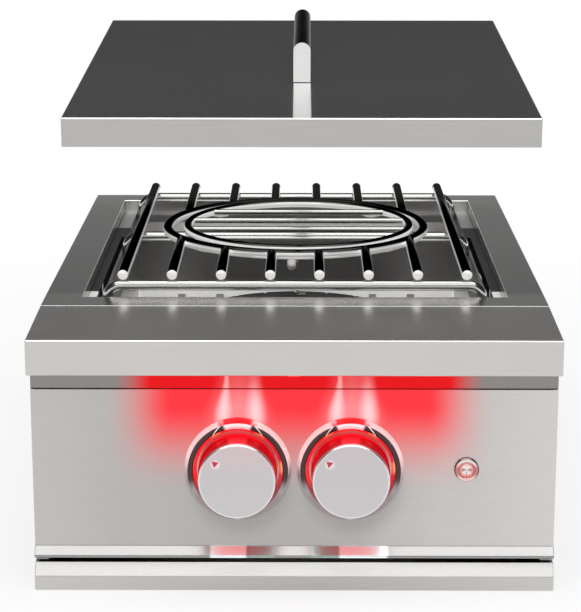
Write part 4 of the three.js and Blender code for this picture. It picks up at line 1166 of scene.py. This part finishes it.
def make_ring():
    """The grate's ring with its short bars and the tabs that hold the insert."""
    bar_low, bar_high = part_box("grate_left_bar")
    level = (bar_low.z + bar_high.z) / 2
    ring_along = middle("outer_burner_cap").y
    work = bmesh.new()
    path = circle(Vector((0, ring_along, level)), RING_RADIUS * MM)
    add_tube(work, path, RING_TUBE * MM, closed=True, slot=2)
    for across in places_across(BAR_PITCH, SHORT_BAR_HALF_COUNT):
        reach = math.sqrt((RING_RADIUS * MM) ** 2 - across**2)
        add_bar(work, Vector((across, bar_low.y, level)), Vector((across, ring_along - reach, level)))
        add_bar(work, Vector((across, bar_high.y, level)), Vector((across, ring_along + reach, level)))
    tab_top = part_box("ring_insert")[0].z - INSERT_GAP * MM
    for i in range(TAB_COUNT):
        turn = Matrix.Rotation(2 * math.pi * (i + 0.5) / TAB_COUNT, 3, "Z")
        for vert in bmesh.ops.create_cube(work, size=1)["verts"]:
            place = Vector((
                (RING_RADIUS - TAB_LENGTH * (0.5 - vert.co.x)) * MM,
                TAB_WIDTH * vert.co.y * MM,
                tab_top + TAB_THICKNESS * (vert.co.z - 0.5) * MM,
            ))
            vert.co = turn @ place + Vector((0, ring_along, 0))
    mesh = finished(work, "grate_ring")
    extras = [CUT_STEEL, RING_STEEL]
    keep("grate_ring_round", mesh, "grate", GRATE_STEEL, "grate_steel", "grate_ring", extras=extras)


def make_insert():
    """The ring insert, and its rods as a piece of their own."""
    low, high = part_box("ring_insert")
    centre = (low + high) / 2
    radius = (high.x - low.x) / 2 - INSERT_TUBE * MM
    work = bmesh.new()
    add_tube(work, circle(centre, radius), INSERT_TUBE * MM, closed=True)
    mesh = finished(work, "ring_insert")
    keep("ring_insert_round", mesh, "insert", RING_STEEL, "grate_steel", "ring_insert")
    work = bmesh.new()
    for along in places_across(CHORD_PITCH, CHORD_HALF_COUNT):
        reach = math.sqrt(radius**2 - along**2)
        add_tube(work, [centre + Vector((sign * reach, along, 0)) for sign in (-1, 1)], CHORD_RADIUS * MM)
    keep("ring_insert_chords", finished(work, "ring_insert_chords"), "insert", ROD_STEEL, "chrome")


def make_grate():
    """Rods, bars and rings as smooth round stock."""
    for place in ("front", "middle", "rear"):
        make_rod(f"grate_{place}_rod")
    for side in SIDES:
        make_long_bar(f"grate_{side}_bar")
    make_ring()
    make_insert()


# Knobs, bezels and ring lights: the sizes of the solids, and how far corners are eased, in millimetres
KNOB_CHAMFER = 1.0
KNOB_SKIRT = 1.0
KNOB_SKIRT_START = 7.75
KNOB_SKIRT_FULL = 6.2
KNOB_EASE = 0.6
POINTER_PROUD = 0.25
BEZEL_CREST = 3.0
BEZEL_CREST_WIDTH = 4.8
BEZEL_FLOOR = 1.4
BEZEL_EASE = 0.9
LIGHT_GAP = 0.3
RING_LIGHT_GAP = 1.8
RING_LIGHT_EASE = 0.5


def make_knob(side):
    node = f"{side}_knob"
    centre, skirt, front, back = round_box(node)
    radius = skirt - KNOB_SKIRT * MM
    face_place = front + POINTER_PROUD * MM
    profile = [
        (0.0, face_place), (radius - KNOB_CHAMFER * MM, face_place),
        (radius, face_place + KNOB_CHAMFER * MM), (radius, back - KNOB_SKIRT_START * MM),
        (skirt, back - KNOB_SKIRT_FULL * MM), (skirt, back), (0.0, back),
    ]
    pointer = f"{side}_knob_pointer"
    face = knob_metal(f"{side}_knob_metal", centre, face_place, radius, middle(pointer), KNOB_RED_LIGHT_SHARES[side])
    turn_piece(node, profile, KNOB_EASE, centre, face)
    marks = frame["nodes"][pointer].data.materials
    marks.clear()
    marks.append(RED_MARK.material)


def make_bezel(side):
    """A bezel and the ring light inside it."""
    node = f"{side}_bezel"
    centre, outer, front, back = round_box(node)
    light_outer, light_front, light_back = round_box(f"{side}_bezel_light")[1:]
    inner = light_outer + LIGHT_GAP * MM
    crest_outer = outer - BEZEL_CREST * MM
    crest_inner = crest_outer - BEZEL_CREST_WIDTH * MM
    floor = back - BEZEL_FLOOR * MM
    profile = [
        (inner, back), (inner, floor), (crest_inner, front), (crest_outer, front),
        (outer, floor), (outer, back), (inner, back),
    ]
    chrome = bezel_metal(f"{side}_bezel_metal", centre, crest_inner, crest_outer)
    turn_piece(node, profile, BEZEL_EASE, centre, chrome)
    light_inner = round_box(f"{side}_knob")[1] + RING_LIGHT_GAP * MM
    profile = ring_profile(light_inner, light_outer, light_front, light_back)
    lens = ring_lens(f"{side}_ring_lens", centre, light_inner, light_outer)
    turn_piece(f"{side}_bezel_light", profile, RING_LIGHT_EASE, centre, lens)


# The push button, in millimetres
HOUSING_BARREL = 2.0
HOUSING_FLANGE = 2.2
HOUSING_CHAMFER = 0.8
HOUSING_WELL = 3.0
HOUSING_EASE = 0.4
BUTTON_LIGHT_GAP = 0.4
BUTTON_LIGHT_EASE = 0.2
BUTTON_CAP_EASE = 0.5


def make_button():
    """The button's housing, its light and its cap."""
    centre, outer, front, back = round_box("button_housing")
    light_outer, light_front, light_back = round_box("button_light")[1:]
    radius, cap_front, cap_back = round_box("ignition_button")[1:]
    light_inner = radius + BUTTON_LIGHT_GAP * MM
    well = light_outer + LIGHT_GAP * MM
    barrel = outer - HOUSING_BARREL * MM
    flange = front + HOUSING_FLANGE * MM
    floor = cap_back + HOUSING_WELL * MM
    chamfer = HOUSING_CHAMFER * MM
    profile = [
        (well, front), (outer - chamfer, front), (outer, front + chamfer), (outer, flange),
        (barrel, flange), (barrel, back), (0.0, back), (0.0, floor), (well, floor), (well, front),
    ]
    collar = button_chrome("button_chrome", centre, light_outer, outer)
    turn_piece("button_housing", profile, HOUSING_EASE, centre, collar)
    profile = ring_profile(light_inner, light_outer, light_front, light_back)
    lens = button_lens("button_lens", centre, light_inner, light_outer)
    turn_piece("button_light", profile, BUTTON_LIGHT_EASE, centre, lens)
    profile = [(0.0, cap_front), (radius, cap_front), (radius, cap_back), (0.0, cap_back)]
    cap = button_cap_metal("button_metal", centre, radius)
    turn_piece("ignition_button", profile, BUTTON_CAP_EASE, centre, cap)


# Studio: reaches and fades in metres
FLOOR_REACH = 40.0
FLOOR_SHADE = 0.95
FLOOR_ROUGH = 0.9
FLOOR_FADE = (0.35, 1.3)
FLOOR_WHITE_SHARE = 0.75
# The sky: height of the direction, and shade
SKY = ((0.0, 0.92), (0.145, 0.92), (0.185, 0.03), (0.6, 0.03), (0.9, 0.10))
# Each lamp: name, place, target, width, depth, power
LAMPS = (
    ("key_overhead", (0.0, -0.5, 3.0), (0, -0.1, 0), 3.6, 2.4, 95),
    ("front_high", (0.0, -3.0, 2.5), (0, 0, 0.1), 3.4, 1.8, 26),
)


def make_floor():
    """A floor that shows the shadow, and fades to white further out for the camera and for mirrors."""
    mesh = bpy.data.meshes.new("studio_floor")
    corners = [(x * FLOOR_REACH, y * FLOOR_REACH, 0) for x, y in ((-1, -1), (1, -1), (1, 1), (-1, 1))]
    mesh.from_pydata(corners, [], [(0, 1, 2, 3)])
    finish = Finish("studio_floor")
    finish.feed("Base Color", (FLOOR_SHADE, FLOOR_SHADE, FLOOR_SHADE, 1))
    finish.feed("Roughness", FLOOR_ROUGH)
    finish.feed("Specular IOR Level", 0.0)
    distance = finish.add("VectorMath", {0: finish.own_place()}, operation="LENGTH").outputs["Value"]
    fade = finish.fade(distance, *FLOOR_FADE, FLOOR_WHITE_SHARE, 1.0)
    rays = finish.add("LightPath").outputs
    seen = finish.math("MAXIMUM", rays["Is Camera Ray"], rays["Is Glossy Ray"])
    seen = finish.math("MAXIMUM", seen, rays["Is Transmission Ray"])
    white = finish.add("Emission").outputs["Emission"]
    inputs = {"Fac": finish.times(fade, seen), 1: finish.shader.outputs["BSDF"], 2: white}
    mixed = finish.add("MixShader", inputs).outputs["Shader"]
    finish.fill(finish.nodes["Material Output"].inputs["Surface"], mixed)
    mesh.materials.append(finish.material)
    put("studio_floor", mesh)


def make_world():
    """A pale band at the horizon, darker studio air above it and a soft light dome overhead."""
    world = bpy.data.worlds.new("studio")
    world.use_nodes = True
    bpy.context.scene.world = world
    graph = Graph(world.node_tree)
    height = graph.add("SeparateXYZ", {"Vector": graph.add("TexCoord").outputs["Generated"]}).outputs["Z"]
    color = graph.ramp(height, [(position, (shade,) * 3) for position, shade in SKY])
    graph.fill(graph.nodes["Background"].inputs["Color"], color)


def make_lamp(name, place, target, width, depth, power):
    data = bpy.data.lights.new(name, "AREA")
    data.shape = "RECTANGLE"
    data.size = width
    data.size_y = depth
    data.energy = power
    lamp = put(name, data)
    lamp.location = place
    lamp.rotation_euler = (Vector(target) - Vector(place)).to_track_quat("-Z", "Y").to_euler()


# Camera, found from the photograph: places in metres, angles in degrees
CAMERA_PLACE = (0.0065, -1.9908, 0.6881)
CAMERA_PITCH = -14.14
CAMERA_YAW = 0.33
CAMERA_REACH = (0.05, 100)
SENSOR = 36.0
IMAGE_HEIGHT = 612
FOCAL_PIXELS = 2000


def make_camera():
    data = bpy.data.cameras.new("photo_camera")
    data.sensor_fit = "VERTICAL"
    data.sensor_height = SENSOR
    data.lens = FOCAL_PIXELS / IMAGE_HEIGHT * SENSOR
    data.clip_start, data.clip_end = CAMERA_REACH
    camera = put("photo_camera", data)
    camera.location = CAMERA_PLACE
    camera.rotation_euler = (math.radians(90 + CAMERA_PITCH), 0, math.radians(CAMERA_YAW))
    bpy.context.scene.camera = camera


make_edged_pieces()
make_grate()
for knob_side in SIDES:
    make_knob(knob_side)
    make_bezel(knob_side)
make_button()
make_floor()
make_world()
for lamp_row in LAMPS:
    make_lamp(*lamp_row)
make_camera()
bpy.context.scene.view_settings.view_transform = "Standard"
